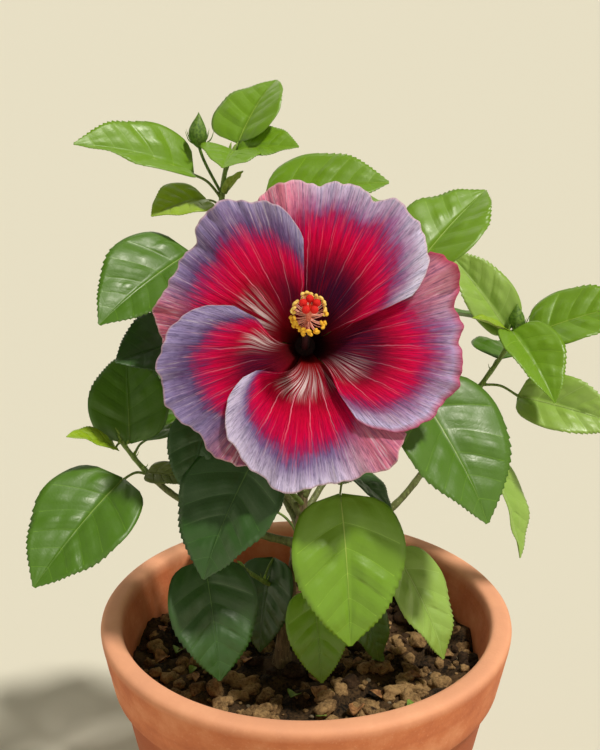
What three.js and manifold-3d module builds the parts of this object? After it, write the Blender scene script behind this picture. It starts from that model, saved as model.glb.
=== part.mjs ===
// A young hibiscus shrub with one large open bloom, planted in a round terracotta pot.
// Millimetres, +Z up, +X to the right, -Y to the front where the bloom looks.
// The origin is the centre of the pot's flat underside.
import * as THREE from "three";
import { mergeVertices } from "three/addons/utils/BufferGeometryUtils.js";
import Module from "manifold-3d";

const wasm = await Module();
wasm.setup();

// Room kept between two pieces that meet, and how near two corners of one piece count as one
const CLEARANCE = 0.3;
const WELD = 1e-5;

// The pot: a thrown bowl of a pot with a broad rolled band under its rim
const POT = {
  height: 245,
  footRadius: 88,
  wallRadius: 127.5,
  bandFoot: 201,
  bandLowerRadius: 132,
  rimRadius: 140,
  mouthRadius: 125.5,
  floorThickness: 15,
  floorRadius: 81,
  // The roundings, each in from its own corner: the foot's edge, the band's lower edge, the rim and the mouth
  footEdge: 2,
  bandEdge: [[-1.5, 0], [0, 2]],
  rimEdge: [[-1, -9], [0, -6], [-2, -1.5], [-5.5, 0]],
  mouthEdge: [[3, 0], [0, -3.5]],
  sides: 44,
};

// The soil: filled to a little below the rim, lumpy, and level where the trunk stands
const SOIL = {
  level: 210,
  rings: [10, 34, 62, 92],
  lump: 3.5,
  waves: { x: 0.09, y: 0.11, start: 1 },
  finerWaves: { x: 0.21, y: -0.17, share: 0.6 },
  sides: 26,
};

// The trunk, from the soil to where the flowering branch goes on from it
const TRUNK = {
  route: [[-16, -15, 210.3], [-15, -14, 232], [-9, -8, 275], [-3, -2, 318], [-1, 4, 352]],
  footRadius: 4.3,
  tipRadius: 3.1,
  flare: 2.6,
  flareHeight: 12,
  cut: 1.5,
  sides: 9,
  steps: 11,
};

// The boughs: each one's route from inside the trunk to where its shoot takes over, and its two radii
const BOUGHS = {
  right_bough: {
    route: [[-8, -7, 283], [26, 3, 294], [66, 16, 322], [104, 34, 374]],
    foot: 2.8,
    tip: 1.9,
  },
  left_bough: {
    route: [[-6, -5, 297], [-40, -14, 312], [-80, -20, 336], [-98, -20, 351]],
    foot: 2.7,
    tip: 1.9,
  },
  upper_left_bough: {
    route: [[-3, -2, 318], [-26, 4, 350], [-48, 8, 400], [-56, 6, 440]],
    foot: 2.4,
    tip: 1.7,
  },
  upper_right_bough: {
    route: [[-2, 0, 330], [16, 6, 360], [34, 8, 400], [48, 0, 440]],
    foot: 2.4,
    tip: 1.7,
  },
  crown_bough: {
    route: [[-2, 0, 332], [-18, 18, 372], [-38, 30, 450], [-52, 24, 508]],
    foot: 2.7,
    tip: 1.8,
  },
  back_top_bough: {
    route: [[-1, 2, 341], [2, 27, 370], [2, 50, 430], [-6, 58, 485]],
    foot: 2.4,
    tip: 1.7,
  },
  back_left_bough: {
    route: [[-4, -3, 308], [-20, 28, 326], [-38, 60, 352], [-50, 80, 385]],
    foot: 2.4,
    tip: 1.7,
  },
  back_right_bough: {
    route: [[-3, -3, 314], [16, 26, 336], [34, 56, 364], [46, 78, 398]],
    foot: 2.4,
    tip: 1.7,
  },
  flower_branch: {
    route: [[-1, 4, 352.4], [0, 8, 378], [0, 6, 404], [-1, 0, 424]],
    foot: 3.1,
    tip: 2.3,
  },
};
const BOUGH = { sides: 6, steps: 9 };

// A leaf blade: egg-shaped, widest a third of the way along, folded a little along its midrib
const BLADE = {
  thickness: 1.15,
  widthPerLength: 0.74,
  fold: 12,
  droop: 22,
  rows: 5,
  root: 6,
  // The outline: how far towards the stalk it is widest, how full it is, and its half width at the tip
  widest: 0.68,
  fullness: 0.82,
  point: 0.045,
};
const STALK = { radius: 1.35, tipRadius: 1.15, sag: 0.12, sides: 3, steps: 3 };
const STEM = { foot: 1.9, tip: 1.3, top: 0.97, sides: 5, steps: 4 };
const BUD = { swell: 0.8, point: 1.2, sides: 5, steps: 10 };

// The shoots whose leaves show from the front. Each has the route of its stem, and for each leaf where its
// stalk leaves the stem (0 at the foot, 1 at the tip), how far the stalk carries the blade from there, the
// heading and pitch of the blade and its roll about its midrib in degrees, and its length.
const SHOOTS = {
  crown_shoot: {
    stem: [[-52, 24, 508.5], [-53, 24, 522], [-51, 26, 538], [-47, 28, 550]],
    leaves: [
      { at: 0.35, stalk: [-18, -6, 17], heading: 203, pitch: 17, roll: -32, length: 76, wide: 0.66 },
      { at: 0.2, stalk: [-10, -6, 4], heading: 238, pitch: 0, roll: 30, length: 52, wide: 0.7 },
      { at: 1, stalk: [5, 6, 8], heading: 50, pitch: 42, roll: -4, length: 52, wide: 0.9 },
      { at: 0.85, stalk: [5, -4, 4], heading: 262, pitch: 28, roll: -8, length: 40, wide: 1 },
      { at: 0.95, stalk: [5, 2, 0], heading: 338, pitch: 6, roll: 30, length: 42, wide: 0.74 },
      { at: 0.45, stalk: [2, -3, 0], heading: 320, pitch: 45, roll: 0, length: 22, wide: 0.5 },
    ],
    buds: [{ at: 0.4, stalk: [-13, -3, 30], length: 22, girth: 5 }],
  },
  upper_left_shoot: {
    stem: [[-56, 6, 440.5], [-58, 4, 458], [-60, 2, 474]],
    leaves: [
      { at: 1, stalk: [-12, -8, 22], heading: 228, pitch: -22, roll: -24, length: 78, wide: 0.78 },
      { at: 0.1, stalk: [-14, -12, -6], heading: 226, pitch: 2, roll: -34, length: 62, wide: 0.8 },
      { at: 0.7, stalk: [-8, 12, 8], heading: 142, pitch: 2, roll: 10, length: 62 },
    ],
  },
  left_shoot: {
    stem: [[-98.4, -20, 351.4], [-108, -21, 364], [-117, -22, 378]],
    leaves: [
      { at: 0.9, stalk: [3, 1, 2], heading: 98, pitch: 50, roll: 4, length: 62, wide: 0.84 },
      { at: 1, stalk: [-4, -3, -3], heading: 226, pitch: 28, roll: -25, length: 40, wide: 0.5 },
      { at: 0.1, stalk: [-14, -22, 6], heading: 227, pitch: -34, roll: -16, length: 84, wide: 0.8 },
      { at: 0.3, stalk: [4, -8, 0], heading: 332, pitch: 2, roll: 30, length: 34, wide: 0.55 },
      { at: 0.6, stalk: [6, 14, 6], heading: 52, pitch: 4, roll: 0, length: 62 },
    ],
  },
  left_front_shoot: {
    stem: [[-3, -3, 326], [-14, -16, 346], [-20, -24, 370]],
    leaves: [
      { at: 1, stalk: [-10, -30, 14], heading: 231, pitch: -50, roll: -6, length: 82, wide: 0.82 },
      { at: 0.55, stalk: [-2, -22, 22], heading: 250, pitch: -58, roll: 24, length: 42, wide: 0.7 },
      { at: 0.9, stalk: [-42, -6, 36], heading: 252, pitch: -52, roll: -12, length: 56 },
    ],
  },
  lower_left_shoot: {
    stem: [[-11, -10, 262], [-26, -20, 276], [-40, -28, 290]],
    leaves: [
      { at: 1, stalk: [-23, -22, 18], heading: 284, pitch: -60, roll: -4, length: 74, wide: 0.86 },
      { at: 0.6, stalk: [6, 12, 10], heading: 250, pitch: -66, roll: 10, length: 62 },
    ],
  },
  front_shoot: {
    stem: [[-5, -4, 304], [0, -18, 318], [6, -32, 328]],
    leaves: [
      { at: 1, stalk: [15, -28, 28], heading: 281, pitch: -62, roll: 2, length: 89, wide: 0.8 },
      { at: 0.5, stalk: [5, -26, -34], heading: 280, pitch: -58, roll: 0, length: 58, wide: 0.72 },
    ],
  },
  lower_right_shoot: {
    stem: [[-9, -8, 274], [12, -14, 286], [34, -18, 300]],
    leaves: [
      { at: 1, stalk: [26, -4, 4], heading: 320, pitch: -56, roll: 6, length: 80, wide: 0.64 },
      { at: 0.6, stalk: [10, 10, 62], heading: 330, pitch: -34, roll: -10, length: 40 },
      { at: 0.75, stalk: [12, -2, -30], heading: 318, pitch: -64, roll: 10, length: 44 },
    ],
  },
  upper_right_shoot: {
    stem: [[48.2, -0.2, 440.4], [56, -4, 456], [62, -8, 472]],
    leaves: [
      { at: 1, stalk: [6, -4, 18], heading: 44, pitch: 30, roll: 14, length: 74, wide: 0.78 },
      { at: 0.1, stalk: [17, -33, -25], heading: 313, pitch: -48, roll: 0, length: 94, wide: 0.8 },
      { at: 0.6, stalk: [4, 20, 6], heading: 84, pitch: 0, roll: 0, length: 68 },
    ],
  },
  right_shoot: {
    stem: [[104.3, 34.2, 374.4], [122, 42, 398], [134, 45, 416], [137, 47, 426]],
    leaves: [
      { at: 1, stalk: [-1, 6, 4], heading: 168, pitch: 52, roll: -55, length: 68, wide: 0.74 },
      { at: 0.85, stalk: [18, 5, 10], heading: 350, pitch: 20, roll: 30, length: 74, wide: 0.68 },
      { at: 0.98, stalk: [-2, -5, 6], heading: 205, pitch: 26, roll: -10, length: 32, wide: 0.55 },
      { at: 0.88, stalk: [2, -7, 14], heading: 294, pitch: -32, roll: 8, length: 62, wide: 0.76 },
      { at: 0.4, stalk: [24, -12, -4], heading: 334, pitch: -12, roll: 24, length: 72, wide: 0.64 },
      { at: 0.15, stalk: [20, -26, -30], heading: 312, pitch: -64, roll: -22, length: 68, wide: 0.56 },
      { at: 0.6, stalk: [8, 18, 2], heading: 70, pitch: -8, roll: 0, length: 68 },
    ],
    buds: [{ at: 0.97, stalk: [5, 4, 6], length: 19, girth: 4.6 }],
  },
  back_top_shoot: {
    stem: [[-6.2, 58.1, 485.8], [-10, 54, 500], [-16, 48, 512]],
    leaves: [
      { at: 1, stalk: [-10, -12, 8], heading: 350, pitch: 10, roll: 30, length: 80, wide: 0.74 },
      { at: 0.3, stalk: [-8, 18, 6], heading: 118, pitch: -14, roll: 0, length: 76 },
      { at: 0.6, stalk: [16, 16, 4], heading: 42, pitch: -4, roll: 0, length: 74 },
      { at: 0.1, stalk: [-10, 8, -8], heading: 175, pitch: -46, roll: 10, length: 66 },
    ],
  },
  back_low_shoot: {
    stem: [[-10, -8, 268], [-7, 18, 284], [-4, 42, 302]],
    leaves: [
      { at: 1, stalk: [8, 20, 12], heading: 72, pitch: -24, roll: 6, length: 82 },
      { at: 0.7, stalk: [-18, 14, 10], heading: 142, pitch: -30, roll: -6, length: 76 },
      { at: 0.4, stalk: [16, 18, 2], heading: 58, pitch: -44, roll: 4, length: 60 },
    ],
  },
};

// The shoots at the back: a spiral of leaves up each stem, grown by rule, without those that would reach
// closer than a middle distance to the shrub's middle line
const SPIRAL = {
  turn: 137.5,
  sway: 16,
  first: 0.3,
  middle: 52,
  roll: 14,
  // From the lowest leaf to the top one
  blade: [80, 52],
  pitch: [-30, 30],
  pitchSway: 10,
  stalk: [32, 12],
  stalkRise: [8, 60],
  stalkSway: 8,
};
const GROWN_SHOOTS = {
  back_left_shoot: {
    stem: [[-50.2, 80.2, 385.4], [-54, 88, 408], [-54, 92, 432]],
    seed: 12,
    heading: 100,
    count: 7,
  },
  back_right_shoot: {
    stem: [[46.2, 78.2, 398.4], [50, 86, 422], [50, 90, 446]],
    seed: 8,
    heading: 240,
    count: 6,
  },
};

// The bloom: five petals round a deep throat, turned up a little as it looks out to the front
const BLOOM = {
  throat: [-1, -72, 457],
  rise: 18,
  radius: 95,
  depth: 36,
  clawRadius: 6.5,
  clawSpan: 34.5,
  funnel: 11,
  dish: 8,
  dishEdge: 0.9,
  // From where to where up its reach a petal turns from its claw's heading, and rises over its neighbour
  opening: [0.12, 0.38],
  overlap: [0.06, 0.3],
  twist: 3.6,
  // A petal is shorter towards its two sides
  hiddenCorner: 0.14,
  cornerPower: 2.5,
  crowding: 1.3,
  ruffle: 1.6,
  ruffles: 3,
  rufflePower: 4,
  thickness: 1.05,
  across: 10,
  along: 8,
};

// Each petal, clockwise from the top: the headings of its claw and of its middle, how far it fans out to each
// side, how far it reaches from the throat, and how much shorter its clockwise corner is. Their claws stand
// evenly round the column.
const PETALS = {
  petal_1: { claw: -46, heading: -45, span: 44, reach: 93, corner: 0.38 },
  petal_2: { claw: 26, heading: 22, span: 43, reach: 96, corner: 0.38 },
  petal_3: { claw: 98, heading: 99, span: 46, reach: 91, corner: 0.46 },
  petal_4: { claw: 170, heading: 187, span: 56, reach: 84, corner: 0.55 },
  petal_5: { claw: 242, heading: 250, span: 49, reach: 87, corner: 0.5 },
};

// The green cup that holds the petals' claws: its heights are along the bloom's axis, back from the throat
const CUP = {
  floor: -36.1,
  floorRadius: 7.4,
  heights: [-33, -28, -22.5, -17],
  room: 1.7,
  wall: 1.3,
  lip: 0.6,
  base: [[0, -4.5], [5, -3.8]],
  lobes: 5,
  lobe: 3,
  lobeFoot: -24,
  sides: 15,
};
const PEDICEL = {
  gap: 0.4,
  rise: [0, -4, 9],
  back: 9,
  seat: 2,
  foot: 2.1,
  tip: 2.5,
  swell: 3,
  sides: 8,
  steps: 7,
};

// The column in the throat. Its route is in the bloom's own measures: off its axis, clock heading, along it.
const COLUMN = {
  route: [[0, 0, -18], [7, 5, 8], [21.2, 6.5, 30]],
  radius: 2.5,
  tipRadius: 1.5,
  sides: 8,
  steps: 8,
};
const ANTHERS = {
  count: 16,
  first: 0.66,
  last: 0.97,
  reach: [9.3, 7.4],
  lean: 3,
  thread: 0.45,
  radius: 1.35,
};
const PADS = { count: 5, ring: 4.1, lean: 4.5, style: 0.7, radius: 2.1 };

const COLOURS = {
  terracotta: 0xc06a45,
  soil: 0x4a3526,
  bark: 0x6f6248,
  greenwood: 0x6f7a3c,
  leaf: 0x3f7a24,
  petal: 0xc01848,
  cup: 0x6d8a3a,
  column: 0xe08a6a,
};

const radians = THREE.MathUtils.degToRad;
const lerp = THREE.MathUtils.lerp;
const point = ([x, y, z]) => new THREE.Vector3(x, y, z);

/** Numbers from 0 to 1 in an order that the seed sets. */
function seeded(seed) {
  let state = seed >>> 0;
  return () => {
    state = (state + 0x6d2b79f5) >>> 0;
    let mixed = Math.imul(state ^ (state >>> 15), state | 1);
    mixed ^= mixed + Math.imul(mixed ^ (mixed >>> 7), mixed | 61);
    return ((mixed ^ (mixed >>> 14)) >>> 0) / 4294967296;
  };
}

/** The same closed shape with each vertex moved by a function of its place. */
function bent(geometry, move) {
  const plain = geometry.clone();
  plain.deleteAttribute("normal");
  plain.deleteAttribute("uv");
  const joined = mergeVertices(plain, WELD);
  const places = joined.attributes.position;
  for (let i = 0; i < places.count; i += 1) {
    const moved = move(new THREE.Vector3().fromBufferAttribute(places, i));
    places.setXYZ(i, moved.x, moved.y, moved.z);
  }
  return joined;
}

/** A closed geometry as a solid that can be joined and cut. */
function solidOf(geometry) {
  const plain = geometry.clone();
  for (const name of Object.keys(plain.attributes)) {
    if (name !== "position") plain.deleteAttribute(name);
  }
  const joined = mergeVertices(plain, WELD);
  return new wasm.Manifold(
    new wasm.Mesh({
      numProp: 3,
      vertProperties: Float32Array.from(joined.attributes.position.array),
      triVerts: Uint32Array.from(joined.index.array),
    }),
  );
}

/** A solid's surface as a geometry again. */
function geometryOf(solid) {
  const mesh = solid.getMesh();
  const places = new Float32Array(mesh.numVert * 3);
  for (let i = 0; i < mesh.numVert; i += 1) {
    places.set(mesh.vertProperties.subarray(i * mesh.numProp, i * mesh.numProp + 3), i * 3);
  }
  const geometry = new THREE.BufferGeometry();
  geometry.setAttribute("position", new THREE.BufferAttribute(places, 3));
  geometry.setIndex(new THREE.BufferAttribute(Uint32Array.from(mesh.triVerts), 1));
  geometry.computeVertexNormals();
  return geometry;
}

/** A round limb along a curve, closed at both ends, its radius given from 0 at its foot to 1 at its tip. */
function limb(curve, radiusAt, sides, steps) {
  const frames = curve.computeFrenetFrames(steps, false);
  return bent(new THREE.CylinderGeometry(1, 1, 1, sides, steps), (spot) => {
    const along = spot.y + 0.5;
    const ring = Math.round(along * steps);
    const radius = radiusAt(along);
    return curve
      .getPointAt(along)
      .addScaledVector(frames.normals[ring], spot.x * radius)
      .addScaledVector(frames.binormals[ring], -spot.z * radius);
  });
}

/** A smooth curve through a route's points. */
function curveThrough(route) {
  return new THREE.CatmullRomCurve3(route.map(point), false, "catmullrom", 0.5);
}

/** Three directions of a blade or bud: along it, to its right, and up out of its face. */
function headingFrame(heading, pitch, roll) {
  const along = new THREE.Vector3(
    Math.cos(radians(pitch)) * Math.cos(radians(heading)),
    Math.cos(radians(pitch)) * Math.sin(radians(heading)),
    Math.sin(radians(pitch)),
  );
  const level = new THREE.Vector3(Math.sin(radians(heading)), -Math.cos(radians(heading)), 0);
  const face = new THREE.Vector3().crossVectors(level, along);
  const right = level
    .clone()
    .multiplyScalar(Math.cos(radians(roll)))
    .addScaledVector(face, -Math.sin(radians(roll)));
  return { along, right, face: new THREE.Vector3().crossVectors(right, along) };
}

/** The frame at a blade's base, tilted up so that the bent blade's tip ends where its pitch points. */
function bladeFrame(leaf) {
  const { along, right, face } = headingFrame(leaf.heading, leaf.pitch, leaf.roll);
  const lift = radians(BLADE.droop / 2);
  return {
    right,
    along: along.clone().multiplyScalar(Math.cos(lift)).addScaledVector(face, Math.sin(lift)),
    face: face.clone().multiplyScalar(Math.cos(lift)).addScaledVector(along, -Math.sin(lift)),
  };
}

/** How wide a blade is at a share of its length, as a share of its greatest half width. */
function bladeOutline(along) {
  const half = Math.sin(Math.PI * along ** BLADE.widest) ** BLADE.fullness;
  return Math.max(BLADE.point, half);
}

/** A leaf blade from its base, bending down along its length and folded up along its midrib. */
function blade(base, leaf, thickness) {
  const { along, right, face } = bladeFrame(leaf);
  const bend = radians(BLADE.droop);
  const fold = radians(BLADE.fold);
  const half = (leaf.length * (leaf.wide ?? BLADE.widthPerLength)) / 2;
  return bent(new THREE.BoxGeometry(2, 1, 1, 2, BLADE.rows, 1), (spot) => {
    const share = spot.y + 0.5;
    const turned = bend * share;
    const out = face
      .clone()
      .multiplyScalar(Math.cos(turned))
      .addScaledVector(along, Math.sin(turned));
    const across = spot.x * half * bladeOutline(share);
    return base
      .clone()
      .addScaledVector(along, (leaf.length * Math.sin(turned)) / bend)
      .addScaledVector(face, (-leaf.length * (1 - Math.cos(turned))) / bend)
      .addScaledVector(right, across * Math.cos(fold))
      .addScaledVector(out, Math.abs(across) * Math.sin(fold) + spot.z * thickness);
  });
}

/** A leaf's stalk, from inside the stem to well inside the root of the blade. */
function stalk(node, base, leaf) {
  const { along } = bladeFrame(leaf);
  const reach = base.distanceTo(node);
  const middle = node.clone().lerp(base, 0.5);
  middle.z += reach * STALK.sag;
  const route = [node, middle, base, base.clone().addScaledVector(along, BLADE.root)];
  const curve = new THREE.CatmullRomCurve3(route, false, "centripetal");
  return limb(curve, (t) => lerp(STALK.radius, STALK.tipRadius, t), STALK.sides, STALK.steps);
}

/** A closed bud: a stalk that swells into a pointed, egg-shaped bud. */
function bud(node, base, shape) {
  const upward = base.clone().add(new THREE.Vector3(0, 0, shape.length));
  const curve = new THREE.CatmullRomCurve3([node, base, upward], false, "centripetal");
  const stalkLength = base.distanceTo(node);
  const start = stalkLength / (stalkLength + shape.length);
  const radiusAt = (t) => {
    const share = Math.max(0, (t - start) / (1 - start));
    return STALK.radius * (1 - share) + shape.girth * Math.sin(Math.PI * share ** BUD.swell) ** BUD.point;
  };
  return limb(curve, radiusAt, BUD.sides, BUD.steps);
}

/** The leaves of a shoot grown by rule: a spiral up the stem, each smaller and more upright. */
function spiralLeaves({ seed, heading, count }) {
  const random = seeded(seed);
  const sway = (most) => (random() * 2 - 1) * most;
  return Array.from({ length: count }, (_, i) => {
    const share = i / (count - 1);
    const out = heading + SPIRAL.turn * i + sway(SPIRAL.sway);
    const rise = lerp(...SPIRAL.stalkRise, share) + sway(SPIRAL.stalkSway);
    const { along } = headingFrame(out, rise, 0);
    return {
      at: lerp(SPIRAL.first, 1, share),
      stalk: along.multiplyScalar(lerp(...SPIRAL.stalk, share)).toArray(),
      heading: out,
      pitch: lerp(...SPIRAL.pitch, share) + sway(SPIRAL.pitchSway),
      roll: sway(SPIRAL.roll),
      length: lerp(...SPIRAL.blade, share),
    };
  });
}

/** Where on its stem a leaf's or bud's stalk begins. */
function nodeOf(curve, part) {
  return curve.getPointAt(part.at * STEM.top);
}

/** Whether a leaf's tip keeps out of the shrub's middle. */
function keepsOut(stem, leaf) {
  const { along } = headingFrame(leaf.heading, leaf.pitch, 0);
  const tip = nodeOf(curveThrough(stem), leaf).add(point(leaf.stalk)).addScaledVector(along, leaf.length);
  return Math.hypot(tip.x, tip.y) > SPIRAL.middle;
}

/** One shoot: its stem with its leaves and buds fused on, without any leaf that would touch what is there. */
function shoot({ stem, leaves, buds = [] }, taken) {
  const curve = curveThrough(stem);
  let grown = solidOf(limb(curve, (t) => lerp(STEM.foot, STEM.tip, t), STEM.sides, STEM.steps));
  for (const leaf of leaves) {
    const node = nodeOf(curve, leaf);
    const base = node.clone().add(point(leaf.stalk));
    const stalked = solidOf(stalk(node, base, leaf));
    const room = stalked.add(solidOf(blade(base, leaf, BLADE.thickness + 2 * CLEARANCE)));
    if (taken.some((other) => !room.intersect(other).isEmpty())) continue;
    grown = grown.add(stalked).add(solidOf(blade(base, leaf, BLADE.thickness)));
  }
  for (const shape of buds) {
    const node = nodeOf(curve, shape);
    grown = grown.add(solidOf(bud(node, node.clone().add(point(shape.stalk)), shape)));
  }
  return grown;
}

/** The directions of the bloom: out to the viewer, up in its face, and right. */
function bloomFrame() {
  const rise = radians(BLOOM.rise);
  return {
    throat: point(BLOOM.throat),
    out: new THREE.Vector3(0, -Math.cos(rise), Math.sin(rise)),
    up: new THREE.Vector3(0, Math.sin(rise), Math.cos(rise)),
    right: new THREE.Vector3(1, 0, 0),
  };
}

/** A place in the bloom: how far off its axis, at what clock heading in degrees, and how far out along it. */
function inBloom(radius, heading, height) {
  const { throat, out, up, right } = bloomFrame();
  return throat
    .addScaledVector(out, height)
    .addScaledVector(up, radius * Math.cos(radians(heading)))
    .addScaledVector(right, radius * Math.sin(radians(heading)));
}

/** How far the petals stand out along the bloom's axis at a distance from it. */
function funnelHeight(radius) {
  const share = radius / BLOOM.radius;
  const throat = -BLOOM.depth * Math.exp(-(radius - BLOOM.clawRadius) / BLOOM.funnel);
  return throat + BLOOM.dish * (share - BLOOM.dishEdge * share ** 3);
}

/** How far from the bloom's axis the petals' claws run at a height in the throat. */
function clawLine(height) {
  return BLOOM.clawRadius - BLOOM.funnel * Math.log(-height / BLOOM.depth);
}

/** A place on a petal: across from -1 to 1 clockwise, and along from 0 at its claw to 1 at its margin. */
function petalPlace({ claw, heading, span, reach, corner }, index, across, along) {
  const shorter = (across > 0 ? corner : BLOOM.hiddenCorner) * Math.abs(across) ** BLOOM.cornerPower;
  const radius = lerp(BLOOM.clawRadius, reach * (1 - shorter), along ** BLOOM.crowding);
  const share = radius / reach;
  const opened = THREE.MathUtils.smoothstep(share, ...BLOOM.opening);
  const turned = lerp(claw, heading, opened) + lerp(BLOOM.clawSpan, span, opened) * across;
  const over = BLOOM.twist * THREE.MathUtils.smoothstep(share, ...BLOOM.overlap) * across;
  const wave = Math.sin(BLOOM.ruffles * Math.PI * across + index) * BLOOM.ruffle * share ** BLOOM.rufflePower;
  return inBloom(radius, turned, funnelHeight(radius) + over + wave);
}

/** A petal: a fan from its claw to its ruffled margin, its clockwise edge lying over its neighbour. */
function petal(shape, index) {
  const step = 1e-3;
  return bent(new THREE.BoxGeometry(2, 1, 1, BLOOM.across, BLOOM.along, 1), (spot) => {
    const along = spot.y + 0.5;
    const place = (aside, onward) => petalPlace(shape, index, spot.x + aside, Math.max(0, along + onward));
    const sideways = place(step, 0).sub(place(-step, 0));
    const outwards = place(0, step).sub(place(0, -step));
    const face = sideways.cross(outwards).normalize();
    return place(0, 0).addScaledVector(face, spot.z * BLOOM.thickness);
  });
}

/** The stalk that carries the bloom, from the flowering branch to the cup's seat. */
function pedicel() {
  const branch = curveThrough(BOUGHS.flower_branch.route);
  const foot = branch.getPointAt(1).addScaledVector(branch.getTangentAt(1), PEDICEL.gap);
  const seat = inBloom(0, 0, CUP.floor - PEDICEL.seat);
  const behind = inBloom(0, 0, CUP.floor - PEDICEL.seat - PEDICEL.back);
  const route = [foot, foot.clone().add(point(PEDICEL.rise)), behind, seat];
  const curve = new THREE.CatmullRomCurve3(route, false, "centripetal");
  const radiusAt = (t) => lerp(PEDICEL.foot, PEDICEL.tip, t ** PEDICEL.swell);
  return limb(curve, radiusAt, PEDICEL.sides, PEDICEL.steps);
}

/** The five-lobed cup that holds the petals' claws, with the stalk that carries it. */
function flowerCup() {
  const inner = CUP.heights.map((height) => [clawLine(height) + CUP.room, height]);
  const outer = inner.map(([radius, height]) => [radius + CUP.wall, height - CUP.lip]);
  const profile = [
    ...CUP.base.map(([radius, drop]) => [radius, CUP.floor + drop]),
    ...outer,
    ...inner.reverse(),
    [CUP.floorRadius, CUP.floor],
    [0, CUP.floor],
  ].map(([radius, height]) => new THREE.Vector2(radius, height));
  const cup = bent(new THREE.LatheGeometry(profile, CUP.sides), (spot) => {
    const heading = THREE.MathUtils.radToDeg(Math.atan2(spot.z, spot.x));
    const rising = THREE.MathUtils.smoothstep(spot.y, CUP.lobeFoot, CUP.heights.at(-1));
    const lobe = rising * CUP.lobe * Math.cos(radians(CUP.lobes * heading));
    // A lobe follows the petals out as it rises
    const wider = clawLine(spot.y + lobe) - clawLine(spot.y);
    return inBloom(Math.hypot(spot.x, spot.z) + wider, heading, spot.y + lobe);
  });
  return solidOf(cup).add(solidOf(pedicel()));
}

/** The column: a tapering tube that curves up, anthers on filaments round its outer part, pads at its tip. */
function stamenColumn() {
  const places = COLUMN.route.map((place) => inBloom(...place));
  const route = [inBloom(0, 0, CUP.floor + CLEARANCE), ...places];
  const curve = new THREE.CatmullRomCurve3(route, false, "centripetal");
  const radiusAt = (t) => lerp(COLUMN.radius, COLUMN.tipRadius, t);
  const steps = 100;
  const frames = curve.computeFrenetFrames(steps, false);
  const aside = (t, turn, reach, lean) => {
    const ring = Math.round(t * steps);
    return curve
      .getPointAt(t)
      .addScaledVector(frames.normals[ring], Math.cos(radians(turn)) * reach)
      .addScaledVector(frames.binormals[ring], Math.sin(radians(turn)) * reach)
      .addScaledVector(frames.tangents[ring], lean);
  };
  // A thread from the column with a grain at its end
  const threaded = (t, end, thickness, grain) => {
    const thread = new THREE.LineCurve3(curve.getPointAt(t), end);
    return solidOf(limb(thread, () => thickness, 3, 1)).add(solidOf(grain.translate(end.x, end.y, end.z)));
  };
  let column = solidOf(limb(curve, radiusAt, COLUMN.sides, COLUMN.steps));
  for (let i = 0; i < ANTHERS.count; i += 1) {
    const share = i / (ANTHERS.count - 1);
    const t = lerp(ANTHERS.first, ANTHERS.last, share);
    const end = aside(t, SPIRAL.turn * i, lerp(...ANTHERS.reach, share), ANTHERS.lean);
    const anther = new THREE.OctahedronGeometry(ANTHERS.radius);
    column = column.add(threaded(t, end, ANTHERS.thread, anther));
  }
  for (let i = 0; i < PADS.count; i += 1) {
    const end = aside(1, (360 / PADS.count) * i, PADS.ring, PADS.lean);
    const tip = new THREE.IcosahedronGeometry(PADS.radius, 0);
    column = column.add(threaded(ANTHERS.last, end, PADS.style, tip));
  }
  return column;
}

/** The pot's wall, rolled band and flat floor in one turned shape. */
function pot() {
  const rounded = (radius, height, edge) => edge.map(([inward, down]) => [radius + inward, height + down]);
  const profile = [
    [0, 0],
    [POT.footRadius - POT.footEdge, 0],
    [POT.footRadius, POT.footEdge],
    [POT.wallRadius, POT.bandFoot - POT.footEdge],
    ...rounded(POT.bandLowerRadius, POT.bandFoot, POT.bandEdge),
    ...rounded(POT.rimRadius, POT.height, POT.rimEdge),
    ...rounded(POT.mouthRadius, POT.height, POT.mouthEdge),
    [POT.floorRadius, POT.floorThickness],
    [0, POT.floorThickness],
  ].map(([radius, height]) => new THREE.Vector2(radius, height));
  return turned(profile, POT.sides);
}

/** A closed profile turned about the vertical. */
function turned(profile, sides) {
  return bent(new THREE.LatheGeometry(profile, sides), (spot) => new THREE.Vector3(spot.z, spot.x, spot.y));
}

/** How far the pot's inner wall stands from its axis at a height, in the middle of a flat facet. */
function innerRadius(height) {
  const [, drop] = POT.mouthEdge.at(-1);
  const share = (height - POT.floorThickness) / (POT.height + drop - POT.floorThickness);
  return lerp(POT.floorRadius, POT.mouthRadius, share) * Math.cos(Math.PI / POT.sides);
}

/** How high the soil lies in a lump at a place. */
function lumpAt(x, y) {
  const { waves, finerWaves } = SOIL;
  const broad = Math.sin(x * waves.x + waves.start) * Math.cos(y * waves.y);
  return SOIL.lump * (broad + finerWaves.share * Math.sin(x * finerWaves.x + y * finerWaves.y));
}

/** The soil: it fills the pot, lies in lumps, and is level round the trunk's foot. */
function soil() {
  const floor = POT.floorThickness + CLEARANCE;
  const edge = (height) => innerRadius(height) - CLEARANCE;
  const profile = [
    [0, floor],
    [edge(floor), floor],
    [edge(SOIL.level), SOIL.level],
    ...SOIL.rings.map((radius) => [radius, SOIL.level]).reverse(),
    [0, SOIL.level],
  ].map(([radius, height]) => new THREE.Vector2(radius, height));
  const [footX, footY] = TRUNK.route[0];
  const innermost = SOIL.rings[0] + 1;
  const outermost = SOIL.rings.at(-1) + 1;
  return bent(turned(profile, SOIL.sides), (spot) => {
    const radius = Math.hypot(spot.x, spot.y);
    if (spot.z < SOIL.level || radius > outermost) return spot;
    // The inner rings lie round the trunk's foot, the outer ones round the pot's axis
    const inward = 1 - radius / edge(SOIL.level);
    spot.x += footX * inward;
    spot.y += footY * inward;
    spot.z += radius > innermost ? lumpAt(spot.x, spot.y) : 0;
    return spot;
  });
}

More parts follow.
